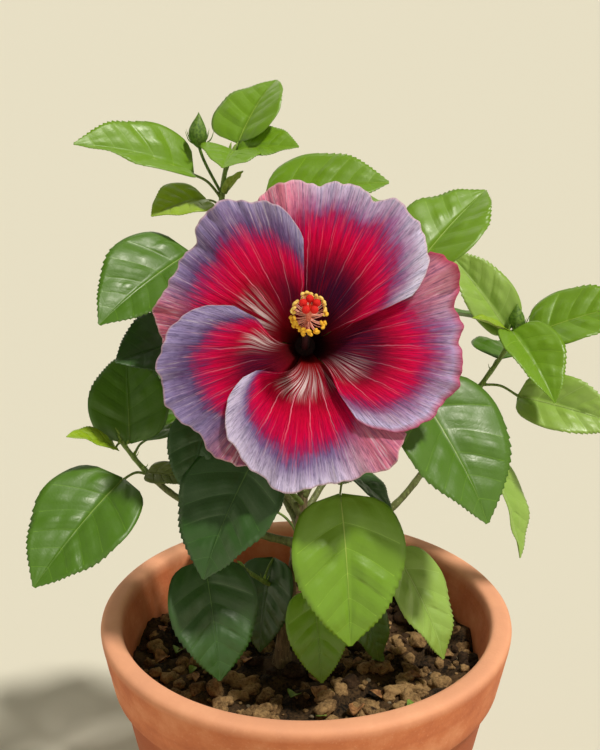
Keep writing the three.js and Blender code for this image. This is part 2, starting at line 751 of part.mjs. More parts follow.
/** The trunk: flared at the soil, cut flat there, and tapering up to the flowering branch. */
function trunk(extra) {
  const foot = TRUNK.route[0][2];
  const rise = TRUNK.route.at(-1)[2] - foot;
  const radiusAt = (t) => {
    const flare = TRUNK.flare * Math.exp((-t * rise) / TRUNK.flareHeight);
    return lerp(TRUNK.footRadius, TRUNK.tipRadius, t) + flare + extra;
  };
  const upright = limb(curveThrough(TRUNK.route), radiusAt, TRUNK.sides, TRUNK.steps);
  return bent(upright, (spot) => spot.setZ(spot.z < foot + TRUNK.cut ? foot : spot.z));
}

const shrub = new THREE.Group();

/** Adds one named piece with its own material to the shrub. */
function add(name, solid, colour, roughness) {
  const material = new THREE.MeshStandardMaterial({ color: colour, roughness, metalness: 0 });
  const mesh = new THREE.Mesh(geometryOf(solid), material);
  mesh.name = name;
  shrub.add(mesh);
  return solid;
}

add("pot", solidOf(pot()), COLOURS.terracotta, 0.85);
add("soil", solidOf(soil()), COLOURS.soil, 0.95);
const trunkRoom = solidOf(trunk(CLEARANCE));
const taken = [add("trunk", solidOf(trunk(0)), COLOURS.bark, 0.8)];

for (const [name, { route, foot, tip }] of Object.entries(BOUGHS)) {
  const whole = solidOf(limb(curveThrough(route), (t) => lerp(foot, tip, t), BOUGH.sides, BOUGH.steps));
  taken.push(add(name, whole.subtract(trunkRoom), COLOURS.greenwood, 0.7));
}
Object.entries(PETALS).forEach(([name, shape], index) => {
  taken.push(add(name, solidOf(petal(shape, index)), COLOURS.petal, 0.5));
});
taken.push(add("flower_cup", flowerCup(), COLOURS.cup, 0.6));
taken.push(add("stamen_column", stamenColumn(), COLOURS.column, 0.5));
for (const [name, plan] of Object.entries(SHOOTS)) {
  taken.push(add(name, shoot(plan, taken).subtract(trunkRoom), COLOURS.leaf, 0.45));
}
for (const [name, plan] of Object.entries(GROWN_SHOOTS)) {
  const leaves = spiralLeaves(plan).filter((leaf) => keepsOut(plan.stem, leaf));
  const grown = shoot({ stem: plan.stem, leaves }, taken);
  taken.push(add(name, grown, COLOURS.leaf, 0.45));
}

export default shrub;
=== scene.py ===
"""A young hibiscus shrub with one large open bloom, in a round terracotta pot, dressed for rendering.

Sizes are in millimetres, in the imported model's frame: +Z up, +X right, -Y to the front, and the origin at
the centre of the pot's underside. A mesh turns to metres when it is finished. Limbs, shoots, leaves and
petals grow by the solids' rule and from their values, with a few leaves turned or moved a little, and are
carried on from there to finer detail.
"""

import logging
import math
import random
from collections.abc import Callable, Iterable, Sequence
from dataclasses import dataclass, field
from enum import Enum

import bmesh
import bpy
import numpy as np
from mathutils import Matrix, Quaternion, Vector, noise


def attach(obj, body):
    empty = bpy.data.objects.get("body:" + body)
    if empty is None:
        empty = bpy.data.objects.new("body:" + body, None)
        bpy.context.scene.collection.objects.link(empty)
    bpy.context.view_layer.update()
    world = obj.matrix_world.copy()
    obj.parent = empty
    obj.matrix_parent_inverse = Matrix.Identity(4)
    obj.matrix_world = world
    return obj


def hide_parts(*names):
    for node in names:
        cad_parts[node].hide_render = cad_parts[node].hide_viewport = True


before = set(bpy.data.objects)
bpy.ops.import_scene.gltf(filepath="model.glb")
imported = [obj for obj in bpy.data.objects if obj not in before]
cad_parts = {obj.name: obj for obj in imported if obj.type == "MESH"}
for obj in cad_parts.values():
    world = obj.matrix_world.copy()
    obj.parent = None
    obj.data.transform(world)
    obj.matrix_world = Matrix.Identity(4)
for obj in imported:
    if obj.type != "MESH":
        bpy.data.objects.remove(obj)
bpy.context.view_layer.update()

LOG = logging.getLogger("shrub")
Triple = tuple[float, float, float]
Cell = tuple[float, float, float, float]
Surface = Callable[[np.ndarray, np.ndarray], np.ndarray]
Mesh = bmesh.types.BMesh
Material = bpy.types.Material
NodeTree = bpy.types.NodeTree
Socket = bpy.types.NodeSocket
GOLDEN = 137.5
TAU = 2.0 * math.pi
# The inputs of a Mix node that lays one colour over another, and its settings
SHARE, UNDER, OVER = 0, 6, 7
MIX = {"out": 2, "data_type": "RGBA"}
EASED = {"interpolation_type": "SMOOTHSTEP"}


class Slot(str, Enum):
    """The record's material slots, by name."""

    TERRACOTTA = "terracotta"
    SOIL = "soil"
    BARK = "bark"
    FOLIAGE = "foliage"
    PETAL = "petal"
    CUP = "green_cup"
    STAMENS = "stamens"


class Tone(Enum):
    """A leaf's colour: its blade, its side veins and its midrib. GREEN is a grown leaf's own green, and YOUNG
    and OLIVE are leaves' own colours by age; DEEP is painted shade for leaves in shadow, and BRIGHT and LIGHT
    are greens with painted sunlight in them.
    """

    DEEP = ("264E10", "386220", "527632")
    GREEN = ("48720A", "5E8A1C", "7C9C3E")
    BRIGHT = ("6C960E", "80AA28", "9CB84C")
    LIGHT = ("8AAC46", "9CBC5E", "B4C880")
    YOUNG = ("8CAC14", "9EBC2C", "B4C84C")
    OLIVE = ("5C6A12", "707E22", "949C44")


def lerp(start: float, end: float, share: float) -> float:
    """A value between two others."""
    return start + (end - start) * share


def smooth(value: float | np.ndarray, low: float, high: float) -> float | np.ndarray:
    """Rises smoothly from 0 at low to 1 at high, for a number or an array."""
    share = np.clip((value - low) / (high - low), 0.0, 1.0)
    return share * share * (3.0 - 2.0 * share)


def linear(code: str) -> tuple[float, float, float, float]:
    """Turns an sRGB hex colour to linear light, with full alpha."""
    parts = [int(code[i : i + 2], 16) / 255.0 for i in (0, 2, 4)]
    red, green, blue = (p / 12.92 if p <= 0.04045 else ((p + 0.055) / 1.055) ** 2.4 for p in parts)
    return red, green, blue, 1.0


def per_metre(size: float) -> float:
    """The scale of a pattern whose features are this many millimetres apart."""
    return 1000.0 / size


def wire(
    tree: NodeTree,
    kind: str,
    inputs: dict[int | str, object],
    out: int | str = 0,
    stops: Sequence[tuple[float, str]] = (),
    **settings: object,
) -> Socket | None:
    """Adds a node with its settings and links.

    Args:
        tree: The material's node tree.
        kind: The node's type, without the ShaderNode that all of them begin with.
        inputs: For each input, by name or number, a socket to link or a value to set.
        out: Which output is wanted.
        stops: The places and sRGB colours of a colour ramp, in order.
        **settings: The node's own settings.

    Returns:
        The wanted output socket, if the node has outputs.
    """
    made = tree.nodes.new(f"ShaderNode{kind}")
    for name, value in settings.items():
        setattr(made, name, value)
    for key, value in inputs.items():
        if isinstance(value, Socket):
            tree.links.new(value, made.inputs[key])
        else:
            made.inputs[key].default_value = value
    # A new ramp has its first and last stops, and the others are added between them
    for i, (place, colour) in enumerate((*stops[:1], *stops[-1:], *stops[1:-1])):
        ramp = made.color_ramp.elements
        stop = ramp[i] if i < 2 else ramp.new(place)
        stop.position, stop.color = place, linear(colour)
    return made.outputs[out] if made.outputs else None


def new_material(name: str) -> tuple[Material, NodeTree]:
    """Makes a material with an empty node tree."""
    made = bpy.data.materials.new(name)
    made.use_nodes = True
    made.node_tree.nodes.clear()
    return made, made.node_tree


def close_material(
    tree: NodeTree, colour: object, roughness: object, normal: Socket, **sockets: float
) -> None:
    """Ends a material in a Principled shader.

    Args:
        tree: The material's node tree.
        colour: Its base colour, a socket or a linear colour.
        roughness: A socket or a number.
        normal: The bump's socket.
        **sockets: More of the shader's inputs, with _ for a blank.
    """
    inputs = {"Base Color": colour, "Roughness": roughness, "Normal": normal}
    inputs |= {name.replace("_", " "): value for name, value in sockets.items()}
    shader = wire(tree, "BsdfPrincipled", inputs)
    wire(tree, "OutputMaterial", {"Surface": shader})


def lay(
    tree: NodeTree, body: object, colour: object, value: Socket, low: float, high: float, most: object = 1.0
) -> Socket:
    """Lays one colour over another where a value goes from one number to another.

    Args:
        tree: The material's node tree.
        body: The colour below, a socket or a linear colour.
        colour: The colour above.
        value: What decides between them.
        low: Where the upper colour begins.
        high: Where it is strongest.
        most: How strong it is there, a socket or a number.

    Returns:
        The colour.
    """
    share = wire(tree, "MapRange", {"Value": value, "From Min": low, "From Max": high, "To Max": most})
    return wire(tree, "Mix", {SHARE: share, UNDER: body, OVER: colour}, **MIX)


@dataclass(frozen=True)
class Terracotta:
    """Earthenware, thrown and fired without glaze: a dry orange skin, mottled by the fire, with fine grit.

    Attributes:
        mottle: How far apart the clouds of the firing are.
        grit: How far apart the grains are.
        ring: How far apart the wheel's faint rings are.
        rim_light_and_low_shade: Paler along the rim top, partly a pale bloom where water leaves it first
        and partly a painted highlight of the lit rim, and deeper from low on the band down, which is
        painted shade: from one height to another in metres, how strongly, and to what colour.
    """

    clay: str = "D07A4E"
    pale: str = "E49A70"
    scorched: str = "B8603A"
    grain: str = "E8B08E"
    mottle: float = 42.0
    grit: float = 1.8
    ring: float = 5.0
    rim_light_and_low_shade: tuple[tuple[float, float, float, str], ...] = (
        (0.236, 0.244, 0.6, "F6BC98"),
        (0.212, 0.19, 0.75, "9E4C28"),
    )

    def material(self) -> Material:
        """Makes the material."""
        made, tree = new_material("terracotta_thrown_unglazed")
        place = wire(tree, "TexCoord", {}, "Object")
        clouds = {"Vector": place, "Scale": per_metre(self.mottle), "Detail": 5.0, "Roughness": 0.62}
        mottle = wire(tree, "TexNoise", clouds)
        fired = ((0.3, self.scorched), (0.5, self.clay), (0.72, self.pale))
        body = wire(tree, "ValToRGB", {"Fac": mottle}, stops=fired)
        turned = wire(tree, "Mapping", {"Vector": place, "Scale": (6.0, 6.0, per_metre(self.ring))})
        rings = wire(tree, "TexNoise", {"Vector": turned, "Scale": 1.0, "Detail": 2.0})
        body = lay(tree, body, linear(self.scorched), rings, 0.52, 0.75, 0.3)
        grit = wire(tree, "TexNoise", {"Vector": place, "Scale": per_metre(self.grit), "Detail": 2.0})
        body = lay(tree, body, linear(self.grain), grit, 0.6, 0.75, 0.2)
        height = wire(tree, "SeparateXYZ", {"Vector": place}, "Z")
        # The paler rim top is partly painted highlight, and the deeper band foot is painted shade
        for low, high, most, colour in self.rim_light_and_low_shade:
            body = lay(tree, body, linear(colour), height, low, high, most)
        rough = wire(tree, "MapRange", {"Value": mottle, "To Min": 0.66, "To Max": 0.86})
        bump = wire(tree, "Bump", {"Height": grit, "Strength": 0.35, "Distance": 0.0004})
        bump = wire(tree, "Bump", {"Height": rings, "Strength": 0.25, "Distance": 0.0009, "Normal": bump})
        close_material(tree, body, rough, bump, Specular_IOR_Level=0.35)
        return made


@dataclass(frozen=True)
class Earth:
    """Potting earth or a dried clod of it: crumbs of several sizes, darker in patches and where the crumbs
    sink.
    """

    name: str
    dry: str
    damp: str
    crumb: float = 3.0
    patch: float = 26.0

    def material(self) -> Material:
        """Makes the material."""
        made, tree = new_material(self.name)
        place = wire(tree, "TexCoord", {}, "Object")
        patch = wire(tree, "TexNoise", {"Vector": place, "Scale": per_metre(self.patch), "Detail": 3.0})
        crumbs = {"Vector": place, "Scale": per_metre(self.crumb), "Detail": 5.0, "Roughness": 0.7}
        crumb = wire(tree, "TexNoise", crumbs)
        mixed = wire(tree, "Math", {0: patch, 1: crumb}, operation="ADD")
        colour = lay(tree, linear(self.damp), linear(self.dry), mixed, 0.84, 1.18)
        bump = wire(tree, "Bump", {"Height": crumb, "Strength": 0.7, "Distance": 0.0012})
        close_material(tree, colour, 0.95, bump, Specular_IOR_Level=0.2)
        return made


@dataclass(frozen=True)
class Stem:
    """A young shoot's skin or green bark: fine lengthwise streaks, and pale raised pores."""

    name: str
    skin: str
    streak: str
    pore: str
    roughness: float = 0.55
    streak_wide: float = 1.6
    streak_long: float = 9.0
    pore_gap: float = 2.6

    def material(self) -> Material:
        """Makes the material."""
        made, tree = new_material(self.name)
        place = wire(tree, "TexCoord", {}, "Object")
        wide, long = per_metre(self.streak_wide), per_metre(self.streak_long)
        along = wire(tree, "Mapping", {"Vector": place, "Scale": (wide, wide, long)})
        streaks = wire(tree, "TexNoise", {"Vector": along, "Scale": 1.0, "Detail": 4.0, "Roughness": 0.6})
        body = lay(tree, linear(self.streak), linear(self.skin), streaks, 0.36, 0.66)
        gaps = {"Vector": place, "Scale": per_metre(self.pore_gap), "Randomness": 1.0}
        pores = wire(tree, "TexVoronoi", gaps, "Distance")
        raised = {"Value": pores, "From Min": 0.1, "From Max": 0.22, "To Min": 0.7, "To Max": 0.0}
        pored = wire(tree, "MapRange", raised)
        dotted = wire(tree, "Mix", {SHARE: pored, UNDER: body, OVER: linear(self.pore)}, **MIX)
        bump = wire(tree, "Bump", {"Height": streaks, "Strength": 0.4, "Distance": 0.0004})
        bump = wire(tree, "Bump", {"Height": pored, "Strength": 0.5, "Distance": 0.0002, "Normal": bump})
        close_material(tree, dotted, self.roughness, bump)
        return made


@dataclass(frozen=True)
class LeafSkin:
    """A leaf's waxy skin: one plain green, glossy in patches, with the fine net of veins as relief only."""

    name: str
    green: str
    low: float = 0.4
    high: float = 0.56
    # Drawn about twice as coarse as a real leaf's net, so that it shows
    net: float = 3.4
    patch: float = 9.0

    def material(self) -> Material:
        """Makes the material."""
        made, tree = new_material(self.name)
        place = wire(tree, "TexCoord", {}, "Object")
        cloud = wire(tree, "TexNoise", {"Vector": place, "Scale": per_metre(self.patch), "Detail": 3.0})
        gloss = {"Value": cloud, "From Min": 0.35, "From Max": 0.65, "To Min": self.low, "To Max": self.high}
        rough = wire(tree, "MapRange", gloss)
        net = {"Vector": place, "Scale": per_metre(self.net)}
        cells = wire(tree, "TexVoronoi", net, "Distance", feature="DISTANCE_TO_EDGE")
        sunk = wire(tree, "MapRange", {"Value": cells, "From Max": 0.16})
        bump = wire(tree, "Bump", {"Height": sunk, "Strength": 0.1, "Distance": 0.0003})
        close_material(tree, linear(self.green), rough, bump, Specular_IOR_Level=0.74)
        return made


@dataclass(frozen=True)
class PetalFace:
    """A petal's face: matt velvet, crimson out of a black throat to a lavender margin, streaked and veined.

    Attributes:
        number: Which petal, which also shifts its patterns.
        crimson: The share of its reach at which the crimson turns.
        corner: How much farther in the lavender comes at its clockwise corner.
        verge: The purple just beyond the crimson.
        margin: The lavender of its margin. Verge and margin are darker on petals 1 and 5 and palest on petal
            2, which is painted shade and painted light.
        blush: The colour of the corner that its neighbour overlaps.
        eye: The colour of its claw in the throat: dark wine, near black on petals 2 and 3 and redder on the
        others, which is painted shade and painted light.
        painted_sheen_rays: Where across, how wide and how strong the pale rays round the throat are, and how
            far
            out: a painted sheen of light on the throat's wall.
        painted_shade_patch: Where across, how wide and how strong the dark patch in its inner half is:
            painted shade on the throat's wall.
        rim: The line along its margin: its colour, where it starts and how strong it is.
    """

    number: int
    crimson: float
    corner: float
    verge: str
    margin: str
    blush: str
    eye: str
    painted_sheen_rays: tuple[float, float, float, float]
    painted_shade_patch: Triple
    rim: tuple[str, float, float] = ("D8B4B8", 0.985, 0.5)

    def material(self) -> Material:
        """Makes the material."""
        made, tree = new_material(f"petal_{self.number}_velvet_face")
        brush = PetalBrush(tree, self)
        brush.ground()
        brush.streaks()
        brush.veins()
        brush.patches()
        brush.edges()
        close_material(tree, brush.body, 0.66, brush.relief(), Specular_IOR_Level=0.07)
        return made


class PetalBrush:
    """Draws a petal's face in layers on its map: across clockwise from 0 to 1, and reach outwards."""

    def __init__(self, tree: NodeTree, face: PetalFace) -> None:
        """Reads the map, and draws noise out along the petal for the layers to use.

        Args:
            tree: The material's node tree.
            face: The petal's colours and places.
        """
        self.tree, self.face = tree, face
        mapped = wire(tree, "UVMap", {}, uv_map="Bloom")
        self.across = wire(tree, "SeparateXYZ", {"Vector": mapped}, "X")
        self.reach = self.across.node.outputs["Y"]
        drawn = []
        # Clouds, streaks 1 mm apart at mid reach, finer ones, short crinkles, and rays drawn coarse enough to
        # show where the petal is narrow: how many across and along, and how detailed
        kinds = ((5.0, 4.0, 3.0), (104.0, 4.2, 3.0), (220.0, 9.0, 2.0), (120.0, 15.0, 3.0), (44.0, 2.4, 2.0))
        for wide, long, detail in kinds:
            place = {"Vector": mapped, "Location": (0.0, 0.0, 3.7 * face.number), "Scale": (wide, long, 1.0)}
            spread = {"Vector": wire(tree, "Mapping", place), "Scale": 1.0, "Detail": detail}
            drawn.append(wire(tree, "TexNoise", {**spread, "Roughness": 0.66}))
        self.broad, self.streak, self.fine, self.crinkle, self.rays = drawn
        self.zone = self.body = self.reach

    def ground(self) -> None:
        """Crimson, purple and lavender from the throat out, and the blush of the overlapped corner."""
        tree, face = self.tree, self.face
        # Zone: the reach, shifted by the streaks and drawn in at the petal's two corners
        shifts = [(self.broad, 0.24), (self.streak, 0.24), (self.fine, 0.14)]
        for start, end, most in ((0.58, 1.0, face.corner), (0.34, 0.0, 0.1)):
            corner = {"Value": self.across, "From Min": start, "From Max": end, "To Max": most}
            shifts.append((wire(tree, "MapRange", corner, **EASED), self.reach))
        zone = wire(tree, "Math", {0: self.reach, 1: 0.74 - face.crimson - 0.31}, operation="ADD")
        for part, weight in shifts:
            zone = wire(tree, "Math", {0: part, 1: weight, 2: zone}, operation="MULTIPLY_ADD")
        reds = ((0.4, "940020"), (0.52, "CC0038"), (0.65, "D20048"), (0.74, "A4185A"))
        body = wire(tree, "ValToRGB", {"Fac": zone}, stops=(*reds, (0.82, face.verge), (1.0, face.margin)))
        near = {"Value": self.across, "From Min": 0.33, "From Max": 0.12, "To Max": 0.9}
        blushed = wire(tree, "MapRange", near, **EASED)
        self.body = lay(tree, body, linear(face.blush), zone, 0.7, 0.84, blushed)
        self.zone = zone

    def streaks(self) -> None:
        """Dark streaks all over, and pale ones through the lavender."""
        tree, zone = self.tree, self.zone
        for drawn, low, high, inner, outer, least, most in (
            (self.streak, 0.5, 0.64, "50001E", "44386A", 0.42, 0.5),
            (self.crinkle, 0.52, 0.72, "7A0028", "3E345E", 0.16, 0.52),
            (self.streak, 0.46, 0.32, "DC2050", "D8CCE2", 0.0, 0.5),
        ):
            growing = {"Value": zone, "From Min": 0.6, "From Max": 0.85, "To Min": least, "To Max": most}
            lines = wire(tree, "MapRange", {"Value": drawn, "From Min": low, "From Max": high})
            share = wire(tree, "Math", {0: lines, 1: wire(tree, "MapRange", growing)}, operation="MULTIPLY")
            tint = wire(tree, "ValToRGB", {"Fac": zone}, stops=((0.62, inner), (0.82, outer)))
            self.body = wire(tree, "Mix", {SHARE: share, UNDER: self.body, OVER: tint}, **MIX)

    def veins(self) -> None:
        """Thin pale veins, with twice as many beyond the fork."""
        tree, pale = self.tree, linear("EE8CA6")
        wander = wire(tree, "Math", {0: self.broad, 1: 0.35}, operation="MULTIPLY")
        for count, width, stops in (
            (7.0, 0.03, ((0.24, "000000"), (0.38, "FFFFFF"), (0.62, "909090"), (0.84, "000000"))),
            (14.0, 0.045, ((0.5, "000000"), (0.62, "808080"), (0.8, "505050"), (0.92, "000000"))),
        ):
            comb = wire(tree, "Math", {0: self.across, 1: count, 2: wander}, operation="MULTIPLY_ADD")
            comb = wire(tree, "Math", {0: comb, 1: 0.5}, operation="PINGPONG")
            vein = wire(tree, "MapRange", {"Value": comb, "From Min": width, "From Max": 0.01})
            shown = wire(tree, "ValToRGB", {"Fac": self.reach}, stops=stops)
            share = wire(tree, "Math", {0: vein, 1: shown}, operation="MULTIPLY")
            self.body = wire(tree, "Mix", {SHARE: share, UNDER: self.body, OVER: pale}, **MIX)

    def patches(self) -> None:
        """The dark patch of painted shade, and the pale rays of painted sheen round the throat, each at its
        own place and reach.
        """
        tree = self.tree
        # First the painted shade, then the painted sheen
        for middle, wide, strong, out, deep, lines, low, high, tint in (
            (*self.face.painted_shade_patch, 0.33, 0.3, self.streak, 0.22, 0.5, "360A2E"),
            (*self.face.painted_sheen_rays, 0.15, self.rays, 0.45, 0.6, "FAEAF0"),
        ):
            share = strong
            for value, centre, half in ((self.across, middle, wide), (self.reach, out, deep)):
                off = wire(tree, "Math", {0: value, 1: centre}, operation="SUBTRACT")
                off = wire(tree, "Math", {0: off}, operation="ABSOLUTE")
                fading = {"Value": off, "From Min": half * 1.2, "From Max": half * 0.15, "To Max": share}
                share = wire(tree, "MapRange", fading, **EASED)
            self.body = lay(tree, self.body, linear(tint), lines, low, high, share)

    def edges(self) -> None:
        """The throat's dark wine, which keeps its place whatever the streaks do, and the thin pale rim."""
        tree, (colour, start, most) = self.tree, self.face.rim
        throat = wire(tree, "Math", {0: self.fine, 1: -0.1, 2: self.reach}, operation="MULTIPLY_ADD")
        claw = wire(tree, "ValToRGB", {"Fac": throat}, stops=((0.0, "1C0405"), (0.1, self.face.eye)))
        body = lay(tree, claw, self.body, throat, 0.08, 0.26)
        self.body = lay(tree, body, linear(colour), self.reach, start, 0.995, most)

    def relief(self) -> Socket:
        """The bump of the streaks and crinkles."""
        height = wire(self.tree, "Math", {0: self.crinkle, 1: 0.7, 2: self.streak}, operation="MULTIPLY_ADD")
        height = wire(self.tree, "Math", {0: self.fine, 1: 0.6, 2: height}, operation="MULTIPLY_ADD")
        return wire(self.tree, "Bump", {"Height": height, "Strength": 0.8, "Distance": 0.001})


@dataclass(frozen=True)
class PetalBack:
    """A petal's back: paler and duller than its face, greenish at the claw and lavender at the margin."""

    bands: tuple[tuple[float, str], ...] = (
        (0.34, "8A8F5A"),
        (0.5, "A4606C"),
        (0.8, "A83A5C"),
        (1.0, "946A8C"),
        (1.0, "B0A0BC"),
    )
    vein: str = "CE8C98"
    veins: float = 7.0

    def material(self) -> Material:
        """Makes the material."""
        made, tree = new_material("petal_back_satin")
        mapped = wire(tree, "UVMap", {}, uv_map="Bloom")
        reach = wire(tree, "SeparateXYZ", {"Vector": mapped}, "Y")
        across = reach.node.outputs["X"]
        spread = wire(tree, "Mapping", {"Vector": mapped, "Scale": (90.0, 5.0, 1.0)})
        streak = wire(tree, "TexNoise", {"Vector": spread, "Scale": 1.0, "Detail": 4.0, "Roughness": 0.66})
        zone = wire(tree, "Math", {0: streak, 1: 0.5, 2: reach}, operation="MULTIPLY_ADD")
        body = wire(tree, "ValToRGB", {"Fac": zone}, stops=self.bands)
        # Veins that stand out behind, from the claw
        comb = wire(tree, "Math", {0: across, 1: self.veins}, operation="MULTIPLY")
        comb = wire(tree, "Math", {0: comb, 1: 0.5}, operation="PINGPONG")
        vein = wire(tree, "MapRange", {"Value": comb, "From Min": 0.07, "From Max": 0.0})
        shown = wire(tree, "MapRange", {"Value": reach, "From Min": 0.92, "From Max": 0.5, "To Max": 0.55})
        share = wire(tree, "Math", {0: vein, 1: shown}, operation="MULTIPLY")
        body = wire(tree, "Mix", {SHARE: share, UNDER: body, OVER: linear(self.vein)}, **MIX)
        height = wire(tree, "Math", {0: vein, 1: 0.8, 2: streak}, operation="MULTIPLY_ADD")
        bump = wire(tree, "Bump", {"Height": height, "Strength": 0.6, "Distance": 0.0007})
        close_material(tree, body, 0.6, bump, Sheen_Weight=0.1)
        return made


@dataclass(frozen=True)
class Flesh:
    """Soft plant flesh, such as a filament, an anther or a sepal: matt, faintly grained, two near colours."""

    name: str
    light: str
    dark: str
    grain: float
    roughness: float = 0.55
    relief: float = 0.3

    def material(self) -> Material:
        """Makes the material."""
        made, tree = new_material(self.name)
        place = wire(tree, "TexCoord", {}, "Object")
        grain = wire(tree, "TexNoise", {"Vector": place, "Scale": per_metre(self.grain), "Detail": 3.0})
        body = lay(tree, linear(self.dark), linear(self.light), grain, 0.38, 0.62)
        bump = wire(tree, "Bump", {"Height": grain, "Strength": 0.6, "Distance": self.relief / 1000.0})
        close_material(tree, body, self.roughness, bump, Specular_IOR_Level=0.4)
        return made


@dataclass(frozen=True)
class StudioPaper:
    """Matt paper for the floor: one pale cream, with a tooth too fine to see but for its softness."""

    cream: str = "D8D6C8"
    tooth: float = 4.0

    def material(self) -> Material:
        """Makes the material."""
        made, tree = new_material("studio_paper_matt")
        place = wire(tree, "TexCoord", {}, "Object")
        tooth = wire(tree, "TexNoise", {"Vector": place, "Scale": per_metre(self.tooth), "Detail": 2.0})
        bump = wire(tree, "Bump", {"Height": tooth, "Strength": 0.05, "Distance": 0.0003})
        close_material(tree, linear(self.cream), 0.95, bump, Specular_IOR_Level=0.1)
        return made


class Route:
    """A smooth line through points, measured along its length, as the solids' limbs run."""

    DIVISIONS = 200

    def __init__(self, points: Iterable[Sequence[float]], centripetal: bool = False) -> None:
        """Keeps the points, and measures the line."""
        self.points = [Vector(point) for point in points]
        self.centripetal = centripetal
        spots = [self.point(i / self.DIVISIONS) for i in range(self.DIVISIONS + 1)]
        steps = [(after - before).length for before, after in zip(spots, spots[1:])]
        self.lengths = np.concatenate([[0.0], np.cumsum(steps)])

    def point(self, share: float) -> Vector:
        """The point at a share of the way through the points, each stretch counting the same.

        Args:
            share: From 0 to 1.

        Returns:
            The point.
        """
        last = len(self.points) - 1
        spot = min(max(share, 0.0), 1.0) * last
        i = min(int(spot), last - 1)
        w = spot - i
        b, c = self.points[i], self.points[i + 1]
        a = self.points[i - 1] if i > 0 else b * 2.0 - c
        d = self.points[i + 2] if i + 2 <= last else c * 2.0 - b
        if self.centripetal:
            one, two, three = (math.sqrt((q - p).length) for p, q in ((a, b), (b, c), (c, d)))
            start = ((b - a) / one - (c - a) / (one + two) + (c - b) / two) * two
            end = ((c - b) / two - (d - b) / (two + three) + (d - c) / three) * two
        else:
            start, end = (c - a) * 0.5, (d - b) * 0.5
        return (
            b
            + start * w
            + (b * -3.0 + c * 3.0 - start * 2.0 - end) * w**2
            + (b * 2.0 - c * 2.0 + start + end) * w**3
        )

    def at(self, share: float) -> Vector:
        """The point at a share of the line's length."""
        places = np.linspace(0.0, 1.0, self.DIVISIONS + 1)
        return self.point(float(np.interp(share * self.lengths[-1], self.lengths, places)))

    def tangent(self, share: float) -> Vector:
        """The line's direction at a share of its length."""
        step = 1e-3
        return (self.at(min(1.0, share + step)) - self.at(max(0.0, share - step))).normalized()

    def frames(self, steps: int) -> list[tuple[Vector, Vector, Vector]]:
        """The point, and two directions across the line, at even steps that don't turn about it.

        Args:
            steps: How many stretches the line is cut into.

        Returns:
            The point and the two directions at each step.
        """
        found = []
        normal = self.tangent(0.0).orthogonal().normalized()
        for i in range(steps + 1):
            tangent = self.tangent(i / steps)
            normal = (normal - tangent * normal.dot(tangent)).normalized()
            found.append((self.at(i / steps), normal.copy(), tangent.cross(normal)))
        return found


def tube(route: Route, radius_at: Callable[[float, float], float], sides: int, steps: int) -> Mesh:
    """A limb along a route, closed at both ends.

    Args:
        route: The limb's middle line.
        radius_at: Its radius at a share of its length and at an angle round it.
        sides: Faces round it.
        steps: Faces along it.

    Returns:
        The limb, in millimetres.
    """
    shape = bmesh.new()
    bmesh.ops.create_cone(
        shape, cap_ends=True, cap_tris=False, segments=sides, radius1=1.0, radius2=1.0, depth=1.0
    )
    if steps > 1:
        upright = [edge for edge in shape.edges if abs(edge.verts[0].co.z - edge.verts[1].co.z) > 0.5]
        bmesh.ops.subdivide_edges(shape, edges=upright, cuts=steps - 1, use_grid_fill=True)
    rings = route.frames(steps)
    for vert in shape.verts:
        share = vert.co.z + 0.5
        spot, normal, binormal = rings[round(share * steps)]
        turn = math.atan2(vert.co.y, vert.co.x)
        vert.co = spot + (normal * math.cos(turn) + binormal * math.sin(turn)) * radius_at(share, turn)
    bmesh.ops.remove_doubles(shape, verts=shape.verts, dist=1e-3)
    return shape


